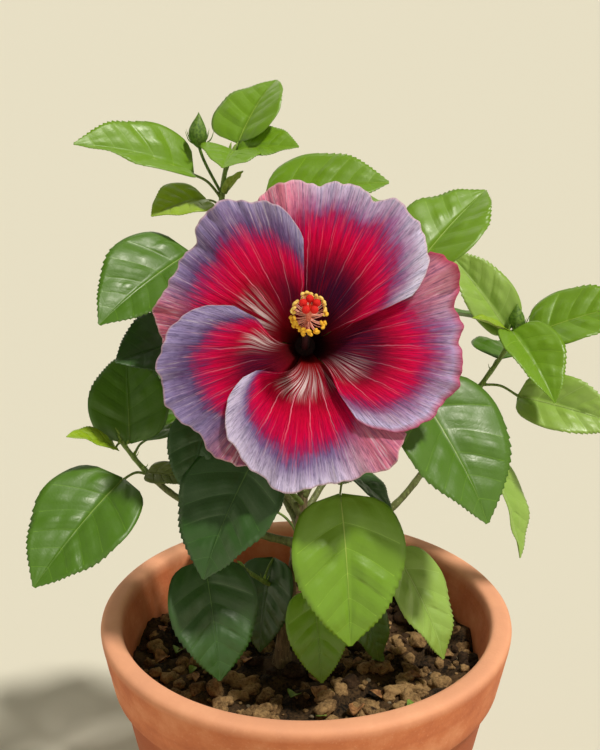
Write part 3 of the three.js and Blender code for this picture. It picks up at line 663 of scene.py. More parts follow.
def slab(
    across: int,
    along: int,
    surface: Surface,
    thickness: Callable[[np.ndarray, np.ndarray], np.ndarray],
    slot_of: Callable[[float, float, int], int],
    cells: tuple[Cell, Cell],
    pattern: Surface | None = None,
) -> Mesh:
    """A thin closed sheet over a curved surface, with a map of its two faces.

    Args:
        across: Faces across, where the surface runs from -1 to 1.
        along: Faces along, where it runs from 0 to 1.
        surface: The points of its middle for arrays of across and along.
        thickness: How thick it is there.
        slot_of: The material slot at a place, on the upper face (1), the rim (0) or the under face (-1).
        cells: The parts of the bake map that its upper and its under face take.
        pattern: The map that its materials read, if they do.

    Returns:
        The sheet, in millimetres.
    """
    shape = bmesh.new()
    bmesh.ops.create_grid(shape, x_segments=across, y_segments=along, size=1.0)
    under = list(shape.faces)
    grown = bmesh.ops.extrude_face_region(shape, geom=under, use_keep_orig=True)["geom"]
    over = [part for part in grown if isinstance(part, bmesh.types.BMFace)]
    raised = [part for part in grown if isinstance(part, bmesh.types.BMVert)]
    bmesh.ops.translate(shape, vec=(0.0, 0.0, 1.0), verts=raised)
    bmesh.ops.recalc_face_normals(shape, faces=shape.faces)
    shape.verts.index_update()
    side = {face: -1 for face in under} | {face: 1 for face in over}
    flat = np.array([vert.co[:] for vert in shape.verts])
    x, y, top = flat[:, 0], (flat[:, 1] + 1.0) / 2.0, flat[:, 2]
    step = 1e-3
    middle = surface(x, y)
    sideways = surface(x + step, y) - surface(x - step, y)
    onward = surface(x, np.minimum(1.0, y + step)) - surface(x, np.maximum(0.0, y - step))
    face_out = np.cross(sideways, onward)
    face_out /= np.maximum(np.linalg.norm(face_out, axis=1, keepdims=True), 1e-12)
    places = middle + face_out * ((top - 0.5) * thickness(x, y))[:, None]
    bake = shape.loops.layers.uv.new("OFBake")
    # How much of its cell a face's island fills, and how far outside it the rim lies
    island, rim = 0.88, 1.05
    drawn = shape.loops.layers.uv.new("Bloom") if pattern else None
    pattern_at = pattern(x, y) if pattern else None
    for face in shape.faces:
        kind = side.get(face, 0)
        centre = face.calc_center_median()
        face.material_index = slot_of(centre.x, (centre.y + 1.0) / 2.0, kind)
        left, low, wide, high = cells[1] if kind < 0 else cells[0]
        for loop in face.loops:
            i = loop.vert.index
            spread = rim if kind == 0 and top[i] < 0.5 else 1.0
            u, v = 0.5 + island / 2 * x[i] * spread, 0.5 + island * (y[i] - 0.5) * spread
            loop[bake].uv = (left + wide * u, low + high * v)
            if drawn:
                loop[drawn].uv = pattern_at[i]
    for vert, place in zip(shape.verts, places):
        vert.co = place
    return shape


def atlas(count: int) -> list[tuple[Cell, Cell]]:
    """Cells of a square map for the two faces of each of a number of sheets."""
    wide = math.ceil(math.sqrt(2 * count))
    cells = [((i % wide) / wide, (i // wide) / wide, 1.0 / wide, 1.0 / wide) for i in range(2 * count)]
    return [(cells[2 * i], cells[2 * i + 1]) for i in range(count)]


class Gathered:
    """Shapes of one kind, joined into one piece."""

    def __init__(self) -> None:
        """Starts with nothing."""
        self.mesh = bmesh.new()

    def take(self, shape: Mesh, slot: int | None = None) -> None:
        """Adds a shape, all in one material slot if one is given.

        Args:
            shape: The shape, which is used up.
            slot: The material slot.
        """
        if slot is not None:
            for face in shape.faces:
                face.material_index = slot
        between = bpy.data.meshes.new("between")
        shape.to_mesh(between)
        shape.free()
        self.mesh.from_mesh(between)
        bpy.data.meshes.remove(between)

    def finish(
        self, name: str, finishes: Sequence[object], slot: Slot, stands_for: Sequence[str] = ()
    ) -> bpy.types.Object:
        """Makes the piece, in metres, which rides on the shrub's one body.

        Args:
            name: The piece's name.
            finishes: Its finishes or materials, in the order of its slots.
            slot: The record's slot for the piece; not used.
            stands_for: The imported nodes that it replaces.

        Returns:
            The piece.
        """
        bmesh.ops.scale(self.mesh, vec=(0.001, 0.001, 0.001), verts=self.mesh.verts)
        for face in self.mesh.faces:
            face.smooth = True
        made = bpy.data.meshes.new(name)
        self.mesh.to_mesh(made)
        self.mesh.free()
        for finish in finishes:
            made.materials.append(finish if isinstance(finish, bpy.types.Material) else finish.material())
        piece = bpy.data.objects.new(name, made)
        bpy.context.scene.collection.objects.link(piece)
        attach(piece, "root")
        if stands_for:
            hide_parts(*stands_for)
        made.calc_loop_triangles()
        LOG.info("%s: %d triangles", name, len(made.loop_triangles))
        return piece


def turned_profile(profile: Sequence[tuple[float, float]], steps: int) -> Mesh:
    """A closed profile of radius and height, spun about the vertical.

    Args:
        profile: Its points, from the axis and back to it.
        steps: Faces round it.

    Returns:
        The turned shape, with its faces outwards.
    """
    shape = bmesh.new()
    verts = [shape.verts.new((radius, 0.0, height)) for radius, height in profile]
    edges = [shape.edges.new(pair) for pair in zip(verts, verts[1:])]
    bmesh.ops.spin(
        shape,
        geom=verts + edges,
        cent=(0, 0, 0),
        axis=(0, 0, 1),
        dvec=(0, 0, 0),
        angle=TAU,
        steps=steps,
        use_merge=True,
    )
    bmesh.ops.remove_doubles(shape, verts=shape.verts, dist=1e-3)
    bmesh.ops.recalc_face_normals(shape, faces=shape.faces)
    return shape


def eased(corners: Sequence[tuple[float, float, float]], bites: int = 5) -> list[tuple[float, float]]:
    """A profile whose corners are rounded.

    Args:
        corners: The radius and height of each corner, and how far its rounding reaches.
        bites: Points on each rounding.

    Returns:
        The points of the profile.
    """
    points: list[tuple[float, float]] = []
    for i, (radius, height, reach) in enumerate(corners):
        spot = Vector((radius, height))
        if reach <= 0.0:
            points.append((radius, height))
            continue
        before, after = (Vector(corners[j][:2]) - spot for j in (i - 1, i + 1))
        start, end = spot + before.normalized() * reach, spot + after.normalized() * reach
        for share in (k / bites for k in range(bites + 1)):
            bend = start * (1 - share) ** 2 + spot * 2 * share * (1 - share) + end * share**2
            points.append((bend.x, bend.y))
    return points


@dataclass
class Pot:
    """The pot: thrown, with tapering walls and a broad band under its rim.

    Attributes:
        wander: How far the wall wanders from true, as a hand-thrown one does.
        ring: How far the rings that the fingers left stand out.
        ring_gap: How far apart those rings are.
    """

    height: float = 245.0
    foot: float = 88.0
    wall: float = 127.5
    band_foot: float = 201.0
    band_lower: float = 132.0
    rim: float = 140.0
    mouth: float = 125.5
    floor: float = 15.0
    floor_radius: float = 81.0
    wander: float = 0.5
    ring: float = 0.16
    ring_gap: float = 3.2
    sides: int = 150

    def inner_radius(self, height: float) -> float:
        """How far the inner wall stands from the axis at a height."""
        return lerp(self.floor_radius, self.mouth, (height - self.floor) / (self.height - self.floor))

    def build(self) -> None:
        """Makes the pot."""
        profile = eased(
            [
                (0.0, 0.0, 0.0),
                (self.foot, 0.0, 2.2),
                (lerp(self.foot, self.wall, 0.5), self.band_foot / 2, 0.5),
                (self.wall, self.band_foot, 1.2),
                (self.band_lower, self.band_foot, 2.4),
                (self.rim, self.height, 6.6),
                (self.mouth, self.height, 4.4),
                (self.floor_radius, self.floor, 3.0),
                (0.0, self.floor, 0.0),
            ]
        )
        shape = turned_profile(self.finer(profile), self.sides)
        for vert in shape.verts:
            radius = math.hypot(vert.co.x, vert.co.y)
            # The floor and the foot stay true
            if radius < self.floor_radius - 4.0 or vert.co.z < 3.0:
                continue
            wander = noise.noise(Vector((vert.co.x / 90, vert.co.y / 90, vert.co.z / 60))) * self.wander
            ring = noise.noise(Vector((vert.co.z / self.ring_gap, radius / 40, 4.0))) * self.ring
            grown = (radius + wander + ring) / radius
            vert.co.x *= grown
            vert.co.y *= grown
        pot = Gathered()
        pot.take(shape, 0)
        pot.finish("pot_thrown", [Terracotta()], Slot.TERRACOTTA, ["pot"])

    @staticmethod
    def finer(profile: Sequence[tuple[float, float]], longest: float = 5.0) -> list[tuple[float, float]]:
        """The same profile with its long runs cut into short ones, so that they can wander."""
        points = [profile[0]]
        for (r0, z0), (r1, z1) in zip(profile, profile[1:]):
            cuts = max(1, math.ceil(math.hypot(r1 - r0, z1 - z0) / longest))
            points += [(lerp(r0, r1, k / cuts), lerp(z0, z1, k / cuts)) for k in range(1, cuts + 1)]
        return points


@dataclass
class Soil:
    """The earth in the pot: lumpy, crumbly, with clods, stones and dry leaf litter lying on it.

    Attributes:
        clod_size: The least and the greatest radius of a clod.
        clod_rarity: The greater, the fewer clods are large.
        rough: How uneven a clod and a stone are.
        flat: How flat they are, and narrow how narrow, from least to most.
        lift: How far out of the earth they stand, as a share of their height.
        pale: The share of dry, pale clods at the back and at the sunny front.
        clearing: How far from the trunk's foot they keep.
        margin: How far from the pot's wall they keep.
        scrap: The least and the greatest length, width and curl of a scrap of leaf.
        fresh: The share of scraps that are still green.
    """

    pot: Pot
    trunk_foot: tuple[float, float] = (-16.0, -15.0)
    level: float = 210.0
    lump: float = 3.5
    crumb: float = 2.4
    rings: int = 62
    sides: int = 190
    clods: int = 780
    clod_size: tuple[float, float] = (1.1, 7.4)
    clod_rarity: float = 2.1
    stones: int = 70
    stone_size: tuple[float, float] = (1.0, 2.6)
    rough: tuple[float, float] = (0.62, 0.14)
    flat: tuple[float, float] = (0.45, 0.75)
    narrow: tuple[float, float] = (0.6, 0.95)
    lift: float = 0.35
    pale: tuple[float, float] = (0.6, 0.96)
    clearing: float = 14.0
    margin: float = 6.0
    litter: int = 40
    scrap: tuple[tuple[float, float], ...] = ((6.0, 15.0), (2.4, 6.0), (0.5, 1.6))
    scrap_lift: float = 2.6
    scrap_thickness: float = 0.35
    fresh: float = 0.2
    seed: int = 5

    def from_trunk(self, x: float, y: float) -> float:
        """How far a place is from the trunk's foot."""
        return math.hypot(x - self.trunk_foot[0], y - self.trunk_foot[1])

    def height(self, x: float, y: float) -> float:
        """How high the earth lies at a place. It rises a little over the edge of the trunk's foot.

        Args:
            x: The place, to the right.
            y: The place, to the back.

        Returns:
            The height.
        """
        broad = math.sin(x * 0.09 + 1.0) * math.cos(y * 0.11)
        lump = self.lump * (broad + 0.6 * math.sin(x * 0.21 - y * 0.17))
        crumbs = noise.fractal(Vector((x / 12.0, y / 12.0, 0.0)), 0.65, 2.2, 5) * self.crumb
        near = 1.0 - float(smooth(self.from_trunk(x, y), 9.0, 26.0))
        return self.level + (lump + crumbs) * (1.0 - near) + near * 1.2

    def build(self) -> None:
        """Makes the earth and what lies on it."""
        edge = self.pot.inner_radius(self.level) + 0.2
        floor = self.pot.floor + 0.3
        profile = [(edge * k / self.rings, self.level) for k in range(self.rings + 1)]
        profile += [(self.pot.inner_radius(floor) - 0.6, floor), (0.0, floor)]
        shape = turned_profile(profile, self.sides)
        for vert in shape.verts:
            if vert.co.z > self.level - 1.0:
                vert.co.z = self.height(vert.co.x, vert.co.y)
        earth = Gathered()
        earth.take(shape, 0)
        # The earth's near-black is painted shade for the dark gaps between the clods; its brown is the
        # earth's own
        dark = Earth("earth_potting_damp", "57422B", "0D0A07", 2.2)
        earth.finish("soil_surface", [dark], Slot.SOIL, ["soil"])
        self.scatter()

    def scatter(self) -> None:
        """Lays the clods, stones and leaf litter on the earth."""
        chance = random.Random(self.seed)
        reach = self.pot.inner_radius(self.level) - self.margin
        loose = Gathered()
        for i in range(self.clods + self.stones):
            x, y = self.spot(chance, reach)
            if self.from_trunk(x, y) >= self.clearing:
                loose.take(*self.lump_at(chance, x, y, i >= self.clods))
        finishes = [
            Earth("clod_clay_sun_dried", "A4855A", "564028", 1.8),
            Earth("clod_peat_dark", "4E3A28", "1A130D", 1.6),
            Earth("stone_river_worn", "94866E", "665A48", 4.0),
        ]
        loose.finish("soil_clods", finishes, Slot.SOIL)
        fallen = Gathered()
        for cells in atlas(self.litter):
            x, y = self.spot(chance, reach * 0.95)
            scrap = self.scrap_at(chance, x, y, cells)
            fallen.take(scrap, 0 if chance.random() < 1.0 - self.fresh else 1)
        dry = Flesh("leaf_litter_dry", "A9794A", "6E4826", 3.0, 0.75)
        green = Flesh("leaf_litter_fresh", "7C9A3C", "567426", 3.0, 0.6)
        fallen.finish("soil_litter", [dry, green], Slot.SOIL)

    @staticmethod
    def spot(chance: random.Random, reach: float) -> tuple[float, float]:
        """A place on the earth within this reach of the pot's axis."""
        away, turn = reach * math.sqrt(chance.random()), chance.random() * TAU
        return away * math.cos(turn), away * math.sin(turn)

    def lump_at(self, chance: random.Random, x: float, y: float, stone: bool) -> tuple[Mesh, int]:
        """A clod or a stone that lies on the earth.

        Args:
            chance: Sets its size, its shape, how it lies and how dry it is.
            x: Where it lies, to the right.
            y: Where it lies, to the back.
            stone: Whether it is a stone.

        Returns:
            It, and the number of its finish.
        """
        if stone:
            size = chance.uniform(*self.stone_size)
        else:
            size = lerp(*self.clod_size, chance.random() ** self.clod_rarity)
        shape = bmesh.new()
        bmesh.ops.create_icosphere(shape, subdivisions=2 if size < 3.2 else 3, radius=size)
        shift = Vector([chance.random() * 50 for _ in range(3)])
        for vert in shape.verts:
            vert.co *= 1.0 + self.rough[stone] * noise.noise(vert.co / (size * 0.9) + shift)
        flat = chance.uniform(*self.flat)
        bmesh.ops.scale(shape, vec=(1.0, chance.uniform(*self.narrow), flat), verts=shape.verts)
        bmesh.ops.rotate(shape, cent=(0, 0, 0), matrix=self.turned(chance), verts=shape.verts)
        height = self.height(x, y) + size * flat * self.lift
        bmesh.ops.translate(shape, vec=(x, y, height), verts=shape.verts)
        if stone:
            return shape, 2
        pale = lerp(*self.pale, float(smooth(-y, -10.0, 60.0)))
        return shape, 0 if chance.random() < pale else 1

    @staticmethod
    def turned(chance: random.Random) -> Matrix:
        """A turn about the vertical and a slight tilt, as a matrix."""
        tilt = Vector((chance.uniform(-0.4, 0.4), chance.uniform(-0.4, 0.4), 1.0))
        return tilt.to_track_quat("Z", "Y").to_matrix() @ Matrix.Rotation(chance.random() * TAU, 3, "Z")

    def scrap_at(self, chance: random.Random, x: float, y: float, cells: tuple[Cell, Cell]) -> Mesh:
        """A curled scrap of leaf on the earth.

        Args:
            chance: Sets its size, its curl and how it lies.
            x: Where it lies, to the right.
            y: Where it lies, to the back.
            cells: Its part of the bake map.

        Returns:
            The scrap, in millimetres.
        """
        turn = chance.random() * TAU
        long, wide, curl = (chance.uniform(*sizes) for sizes in self.scrap)
        lift = self.height(x, y) + self.scrap_lift
        heading = np.array((math.cos(turn), math.sin(turn), chance.uniform(-0.15, 0.25)))
        side = np.array((-math.sin(turn), math.cos(turn), chance.uniform(-0.3, 0.3)))

        def surface(across: np.ndarray, along: np.ndarray) -> np.ndarray:
            """The scrap's middle surface."""
            half = wide * np.maximum(0.08, np.sin(np.pi * np.clip(along, 0, 1) ** 0.8))
            up = curl * (across**2) * half * 0.5 + np.sin(along * 3.0) * curl
            flat = (along - 0.5)[:, None] * long * heading + (across * half)[:, None] * side
            return flat + np.stack([np.full_like(up, x), np.full_like(up, y), lift + up], axis=1)

        thick = self.scrap_thickness
        return slab(4, 6, surface, lambda a, b: np.full_like(a, thick), lambda a, b, s: 0, cells)


@dataclass(frozen=True)
class Limb:
    """A bough: its route and the radii at its two ends."""

    name: str
    route: tuple[Triple, ...]
    foot: float
    tip: float


BOUGHS = (
    Limb("right_bough", ((-8, -7, 283), (26, 3, 294), (66, 16, 322), (104, 34, 374)), 2.8, 1.9),
    Limb("left_bough", ((-6, -5, 297), (-40, -14, 312), (-80, -20, 336), (-98, -20, 351)), 2.7, 1.9),
    Limb("upper_left_bough", ((-3, -2, 318), (-26, 4, 350), (-48, 8, 400), (-56, 6, 440)), 2.4, 1.7),
    Limb("upper_right_bough", ((-2, 0, 330), (16, 6, 360), (34, 8, 400), (48, 0, 440)), 2.4, 1.7),
    Limb("crown_bough", ((-2, 0, 332), (-18, 18, 372), (-38, 30, 450), (-52, 24, 508)), 2.7, 1.8),
    Limb("back_top_bough", ((-1, 2, 341), (2, 27, 370), (2, 50, 430), (-6, 58, 485)), 2.4, 1.7),
    Limb("back_left_bough", ((-4, -3, 308), (-20, 28, 326), (-38, 60, 352), (-50, 80, 385)), 2.4, 1.7),
    Limb("back_right_bough", ((-3, -3, 314), (16, 26, 336), (34, 56, 364), (46, 78, 398)), 2.4, 1.7),
    Limb("flower_branch", ((-1, 4, 352.4), (0, 8, 378), (0, 6, 404), (-1, 0, 424)), 3.1, 2.3),
)


@dataclass
class Limbs:
    """The trunk and its boughs, with the relief of young bark.

    Attributes:
        scar_gap: How far apart the leaf scars are, at which the wood swells.
        scar: How far it swells there, as a share of the radius, and scar_long over what length.
        ridge: How far the bark's fine ridges stand out.
        pore: How far its pores do.
    """

    route: tuple[Triple, ...] = (
        (-16, -15, 210.3),
        (-15, -14, 232),
        (-9, -8, 275),
        (-3, -2, 318),
        (-1, 4, 352),
    )
    foot: float = 4.3
    tip: float = 3.1
    flare: float = 2.6
    flare_height: float = 12.0
    scar_gap: float = 19.0
    scar: float = 0.13
    scar_long: float = 2.2
    ridge: float = 0.16
    pore: float = 0.22
    collar: float = 0.5
    collar_long: float = 7.0

    def relief(self, distance: float, turn: float, radius: float, shift: float) -> float:
        """How far the bark stands out.

        Args:
            distance: How far up the limb.
            turn: The angle round it.
            radius: The limb's plain radius.
            shift: Sets one limb's relief apart from another's.

        Returns:
            The height of the bark over the plain limb.
        """
        beat = (distance + shift) % self.scar_gap - self.scar_gap / 2
        swollen = self.scar * radius * math.exp(-((beat / self.scar_long) ** 2))
        knot = swollen * (1.0 + 0.6 * math.cos(turn - shift * 1.7 - distance * 0.13))
        around = Vector((math.cos(turn) * 2.6 + shift, math.sin(turn) * 2.6, distance / 7.0))
        ridges = self.ridge * noise.fractal(around, 0.8, 2.2, 3)
        pores = self.pore * float(smooth(noise.noise(around * 3.1), 0.52, 0.75))
        return knot + ridges + pores

    def build(self) -> None:
        """Makes the trunk and the boughs as one piece."""
        wood = Gathered()
        route = Route(self.route)
        long = route.lengths[-1]

        def trunk_radius(share: float, turn: float) -> float:
            """The trunk's radius, fluted where it flares."""
            away = share * long
            flare = self.flare * math.exp(-away / self.flare_height) * (1.0 + 0.3 * math.cos(5 * turn + 0.7))
            plain = lerp(self.foot, self.tip, share) + flare
            return plain + self.relief(away, turn, plain, 3.0)

        trunk = tube(route, trunk_radius, 30, 130)
        for vert in trunk.verts:
            vert.co.z = max(vert.co.z, self.route[0][2])
        wood.take(trunk, 0)
        for i, bough in enumerate(BOUGHS):
            wood.take(self.bough(bough, 5.0 + 4.3 * i), 1)
        bark = Stem("bark_young_brown", "8A7A58", "5C4E38", "A89A78", 0.7)
        green = Stem("bark_green_wood", "748048", "55582F", "A5A272", 0.6)
        wood.finish("limbs_bark", [bark, green], Slot.BARK, ["trunk", *(bough.name for bough in BOUGHS)])

    def bough(self, bough: Limb, shift: float) -> Mesh:
        """One bough, with a collar where it leaves the trunk, which the flowering branch carries on.

        Args:
            bough: The bough.
            shift: Sets its relief apart from that of the others.

        Returns:
            The bough, in millimetres.
        """
        collar = 0.0 if bough.name == "flower_branch" else self.collar
        route = Route(bough.route)
        long = route.lengths[-1]

        def radius(share: float, turn: float) -> float:
            """The bough's radius."""
            away = share * long
            swell = 1.0 + collar * math.exp(-((away / self.collar_long) ** 2))
            plain = lerp(bough.foot, bough.tip, share) * swell
            return plain + self.relief(away, turn, plain, shift) * 0.8

        return tube(route, radius, 20, max(20, round(long / 1.6)))


@dataclass(frozen=True)
class Leaf:
    """One leaf: where on its stem its stalk begins, how far the stalk carries it, and how the blade lies.

    Attributes:
        at: From 0 at the stem's foot to 1 at its tip.
        stalk: From there to the blade's base.
        heading: The blade's heading in degrees.
        pitch: How far it points up.
        roll: Its turn about its midrib.
        length: The blade's length.
        wide: Its width as a share of its length.
        tone: Its colour.
        fold: How far its two halves fold up from flat.
    """

    at: float
    stalk: Triple
    heading: float
    pitch: float
    roll: float
    length: float
    wide: float = 0.74
    tone: Tone = Tone.GREEN
    fold: float = 12.0


@dataclass(frozen=True)
class FlowerBud:
    """A closed bud on its stalk."""

    at: float
    stalk: Triple
    length: float
    girth: float


@dataclass(frozen=True)
class Shoot:
    """A stem with its leaves and buds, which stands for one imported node."""

    name: str
    stem: tuple[Triple, ...]
    leaves: tuple[Leaf, ...]
    buds: tuple[FlowerBud, ...] = ()


SHOOTS = (
    Shoot(
        "crown_shoot",
        ((-52, 24, 508.5), (-53, 24, 522), (-51, 26, 538), (-47, 28, 550)),
        (
            Leaf(0.35, (-18, -6, 17), 203, 17, -32, 76, 0.66, Tone.BRIGHT, 27),
            Leaf(0.2, (-10, -6, 7), 218, -8, -22, 40, 0.95, Tone.YOUNG),
            Leaf(1, (5, 6, 8), 54, 42, -4, 53, 1.04, Tone.BRIGHT),
            Leaf(0.85, (5, -4, 10), 262, -8, -8, 38, 1, Tone.BRIGHT),
            Leaf(0.95, (5, 2, 5), 338, 6, 30, 42, 0.8, Tone.BRIGHT, 18),
            Leaf(0.45, (2, -3, 0), 320, 45, 0, 22, 0.5, Tone.LIGHT),
        ),
        (FlowerBud(0.4, (-13, -3, 30), 22, 5),),
    ),
    Shoot(
        "upper_left_shoot",
        ((-56, 6, 440.5), (-58, 4, 458), (-60, 2, 474)),
        (
            Leaf(1, (-12, -8, 22), 228, -22, -24, 78, 0.78, Tone.GREEN, 15),
            Leaf(0.1, (-14, -12, -6), 226, 2, -34, 62, 0.8, Tone.DEEP),
            Leaf(0.7, (-8, 12, 8), 142, 2, 10, 62),
        ),
    ),
    Shoot(
        "left_shoot",
        ((-98.4, -20, 351.4), (-108, -21, 364), (-117, -22, 378)),
        (
            Leaf(0.9, (3, 1, 2), 98, 50, 4, 62, 0.84, Tone.GREEN),
            Leaf(1, (-4, -3, -3), 226, 28, -25, 40, 0.5, Tone.YOUNG, 18),
            Leaf(0.1, (-14, -22, 6), 227, -34, -16, 84, 0.8, Tone.GREEN),
            Leaf(0.3, (4, -8, 0), 332, 2, 30, 34, 0.55, Tone.OLIVE),
            Leaf(0.6, (6, 14, 6), 52, 4, 0, 62),
        ),
    ),
    Shoot(
        "left_front_shoot",
        ((-3, -3, 326), (-14, -16, 346), (-20, -24, 370)),
        (
            Leaf(1, (-10, -30, 14), 233, -50, -2, 82, 0.89, Tone.DEEP),
            Leaf(0.55, (-2, -22, 22), 250, -58, 24, 42, 0.7, Tone.DEEP),
            Leaf(0.9, (-42, -6, 36), 252, -52, -12, 56, 0.74, Tone.DEEP),
        ),
    ),
    Shoot(
        "lower_left_shoot",
        ((-11, -10, 262), (-26, -20, 276), (-40, -28, 290)),
        (
            Leaf(1, (-25, -22, 18), 287, -60, -4, 74, 0.8, Tone.DEEP),
            Leaf(0.6, (6, 12, 10), 250, -66, 10, 62, 0.74, Tone.DEEP),
        ),
    ),
    Shoot(
        "front_shoot",
        ((-5, -4, 304), (0, -18, 318), (6, -32, 328)),
        (
            Leaf(1, (15, -25, 28), 281, -70, -4, 92, 0.8, Tone.BRIGHT, 14),
            Leaf(0.5, (5, -26, -34), 280, -58, 0, 58, 0.72, Tone.BRIGHT),
        ),
    ),
    Shoot(
        "lower_right_shoot",
        ((-9, -8, 274), (12, -14, 286), (34, -18, 300)),
        (
            Leaf(1, (25, -4, 1), 319, -56, 6, 77, 0.6, Tone.LIGHT),
            Leaf(0.6, (10, 10, 62), 330, -34, -10, 40, 0.74, Tone.DEEP),
            Leaf(0.75, (12, -2, -30), 318, -64, 10, 44),
        ),
    ),
    Shoot(
        "upper_right_shoot",
        ((48.2, -0.2, 440.4), (56, -4, 456), (62, -8, 472)),
        (
            Leaf(1, (6, -4, 18), 44, 30, 14, 74, 0.78, Tone.BRIGHT, 16),
            Leaf(0.1, (16, -33, -25), 313, -48, 9, 94, 0.86, Tone.GREEN, 14),
            Leaf(0.6, (4, 20, 6), 84, 0, 0, 68),
        ),
    ),
    Shoot(
        "right_shoot",
        ((104.3, 34.2, 374.4), (122, 42, 398), (134, 45, 416), (137, 47, 426)),
        (
            Leaf(1, (-1, 6, 4), 162, 50, -48, 68, 0.6, Tone.LIGHT, 26),
            Leaf(0.85, (18, 5, 10), 350, 20, 30, 74, 0.68, Tone.BRIGHT),
            Leaf(0.98, (-2, -5, 6), 205, 26, -10, 32, 0.55, Tone.YOUNG, 20),
            Leaf(0.88, (2, -7, 14), 294, -32, 8, 62, 0.76, Tone.BRIGHT, 32),
            Leaf(0.4, (24, -12, -4), 334, -8, 46, 72, 0.58, Tone.LIGHT, 20),
            Leaf(0.15, (12, -26, -31), 312, -64, -22, 68, 0.56, Tone.LIGHT, 20),
            Leaf(0.6, (8, 18, 2), 70, -8, 0, 68),
        ),
        (FlowerBud(0.97, (5, 4, 6), 19, 4.6),),
    ),
    Shoot(
        "back_top_shoot",
        ((-6.2, 58.1, 485.8), (-10, 54, 500), (-16, 48, 512)),
        (
            Leaf(1, (-10, -12, 8), 350, 10, 30, 80, 0.74, Tone.BRIGHT),
            Leaf(0.3, (-8, 18, 6), 118, -14, 0, 76),
            Leaf(0.6, (16, 16, 4), 42, -4, 0, 74, 0.74, Tone.BRIGHT),
            Leaf(0.1, (-10, 8, -8), 175, -46, 10, 66, 0.74, Tone.DEEP),
        ),
    ),
    Shoot(
        "back_low_shoot",
        ((-10, -8, 268), (-7, 18, 284), (-4, 42, 302)),
        (
            Leaf(1, (8, 20, 12), 72, -24, 6, 82),
            Leaf(0.7, (-18, 14, 10), 142, -30, -6, 76, 0.74, Tone.DEEP),
            Leaf(0.4, (16, 18, 2), 58, -44, 4, 60, 0.74, Tone.DEEP),
        ),
    ),
)


@dataclass
class Spiral:
    """A shoot at the back, grown by rule: a spiral of leaves up the stem, each smaller and more upright."""

    name: str
    stem: tuple[Triple, ...]
    seed: int
    heading: float
    count: int
    sway: float = 16.0
    first: float = 0.3
    middle: float = 52.0
    roll: float = 14.0
    blade: tuple[float, float] = (80.0, 52.0)
    pitch: tuple[float, float] = (-30.0, 30.0)
    pitch_sway: float = 10.0
    stalk: tuple[float, float] = (32.0, 12.0)
    stalk_rise: tuple[float, float] = (8.0, 60.0)
    stalk_sway: float = 8.0

    def numbers(self) -> Callable[[], float]:
        """Numbers from 0 to 1 in the order that the seed sets, the same as the solids'."""
        state = self.seed
        mask = 0xFFFFFFFF

        def following() -> float:
            """The next number."""
            nonlocal state
            state = (state + 0x6D2B79F5) & mask
            mixed = ((state ^ (state >> 15)) * (state | 1)) & mask
            mixed ^= (mixed + (((mixed ^ (mixed >> 7)) * (mixed | 61)) & mask)) & mask
            return ((mixed ^ (mixed >> 14)) & mask) / 4294967296

        return following

    def shoot(self) -> Shoot:
        """The shoot, without the leaves that would reach the shrub's middle."""
        following = self.numbers()

        def sway(most: float) -> float:
            """A number up to this much either way."""
            return (following() * 2 - 1) * most

        route = Route(self.stem)
        # From painted shade on the lowest leaves, through painted sunlight, to the young green at the top
        tones = (Tone.DEEP, Tone.GREEN, Tone.GREEN, Tone.BRIGHT, Tone.YOUNG)
        leaves = []
        for i in range(self.count):
            share = i / (self.count - 1)
            out = self.heading + GOLDEN * i + sway(self.sway)
            along, _, _ = directions(out, lerp(*self.stalk_rise, share) + sway(self.stalk_sway), 0.0)
            stalk = along * lerp(*self.stalk, share)
            leaf = Leaf(
                at=lerp(self.first, 1.0, share),
                stalk=tuple(stalk),
                heading=out,
                pitch=lerp(*self.pitch, share) + sway(self.pitch_sway),
                roll=sway(self.roll),
                length=lerp(*self.blade, share),
                tone=tones[round(share * (len(tones) - 1))],
            )
            onward, _, _ = directions(leaf.heading, leaf.pitch, 0.0)
            tip = route.at(leaf.at * Foliage.STEM_TOP) + stalk + onward * leaf.length
            if math.hypot(tip.x, tip.y) > self.middle:
                leaves.append(leaf)
        return Shoot(self.name, self.stem, tuple(leaves))


def directions(heading: float, pitch: float, roll: float) -> tuple[Vector, Vector, Vector]:
    """Three directions of a blade or bud: along it, to its right, and up out of its face."""
    turn, rise, tilt = (math.radians(angle) for angle in (heading, pitch, roll))
    along = Vector((math.cos(rise) * math.cos(turn), math.cos(rise) * math.sin(turn), math.sin(rise)))
    level = Vector((math.sin(turn), -math.cos(turn), 0.0))
    right = level * math.cos(tilt) - level.cross(along) * math.sin(tilt)
    return along, right, right.cross(along)


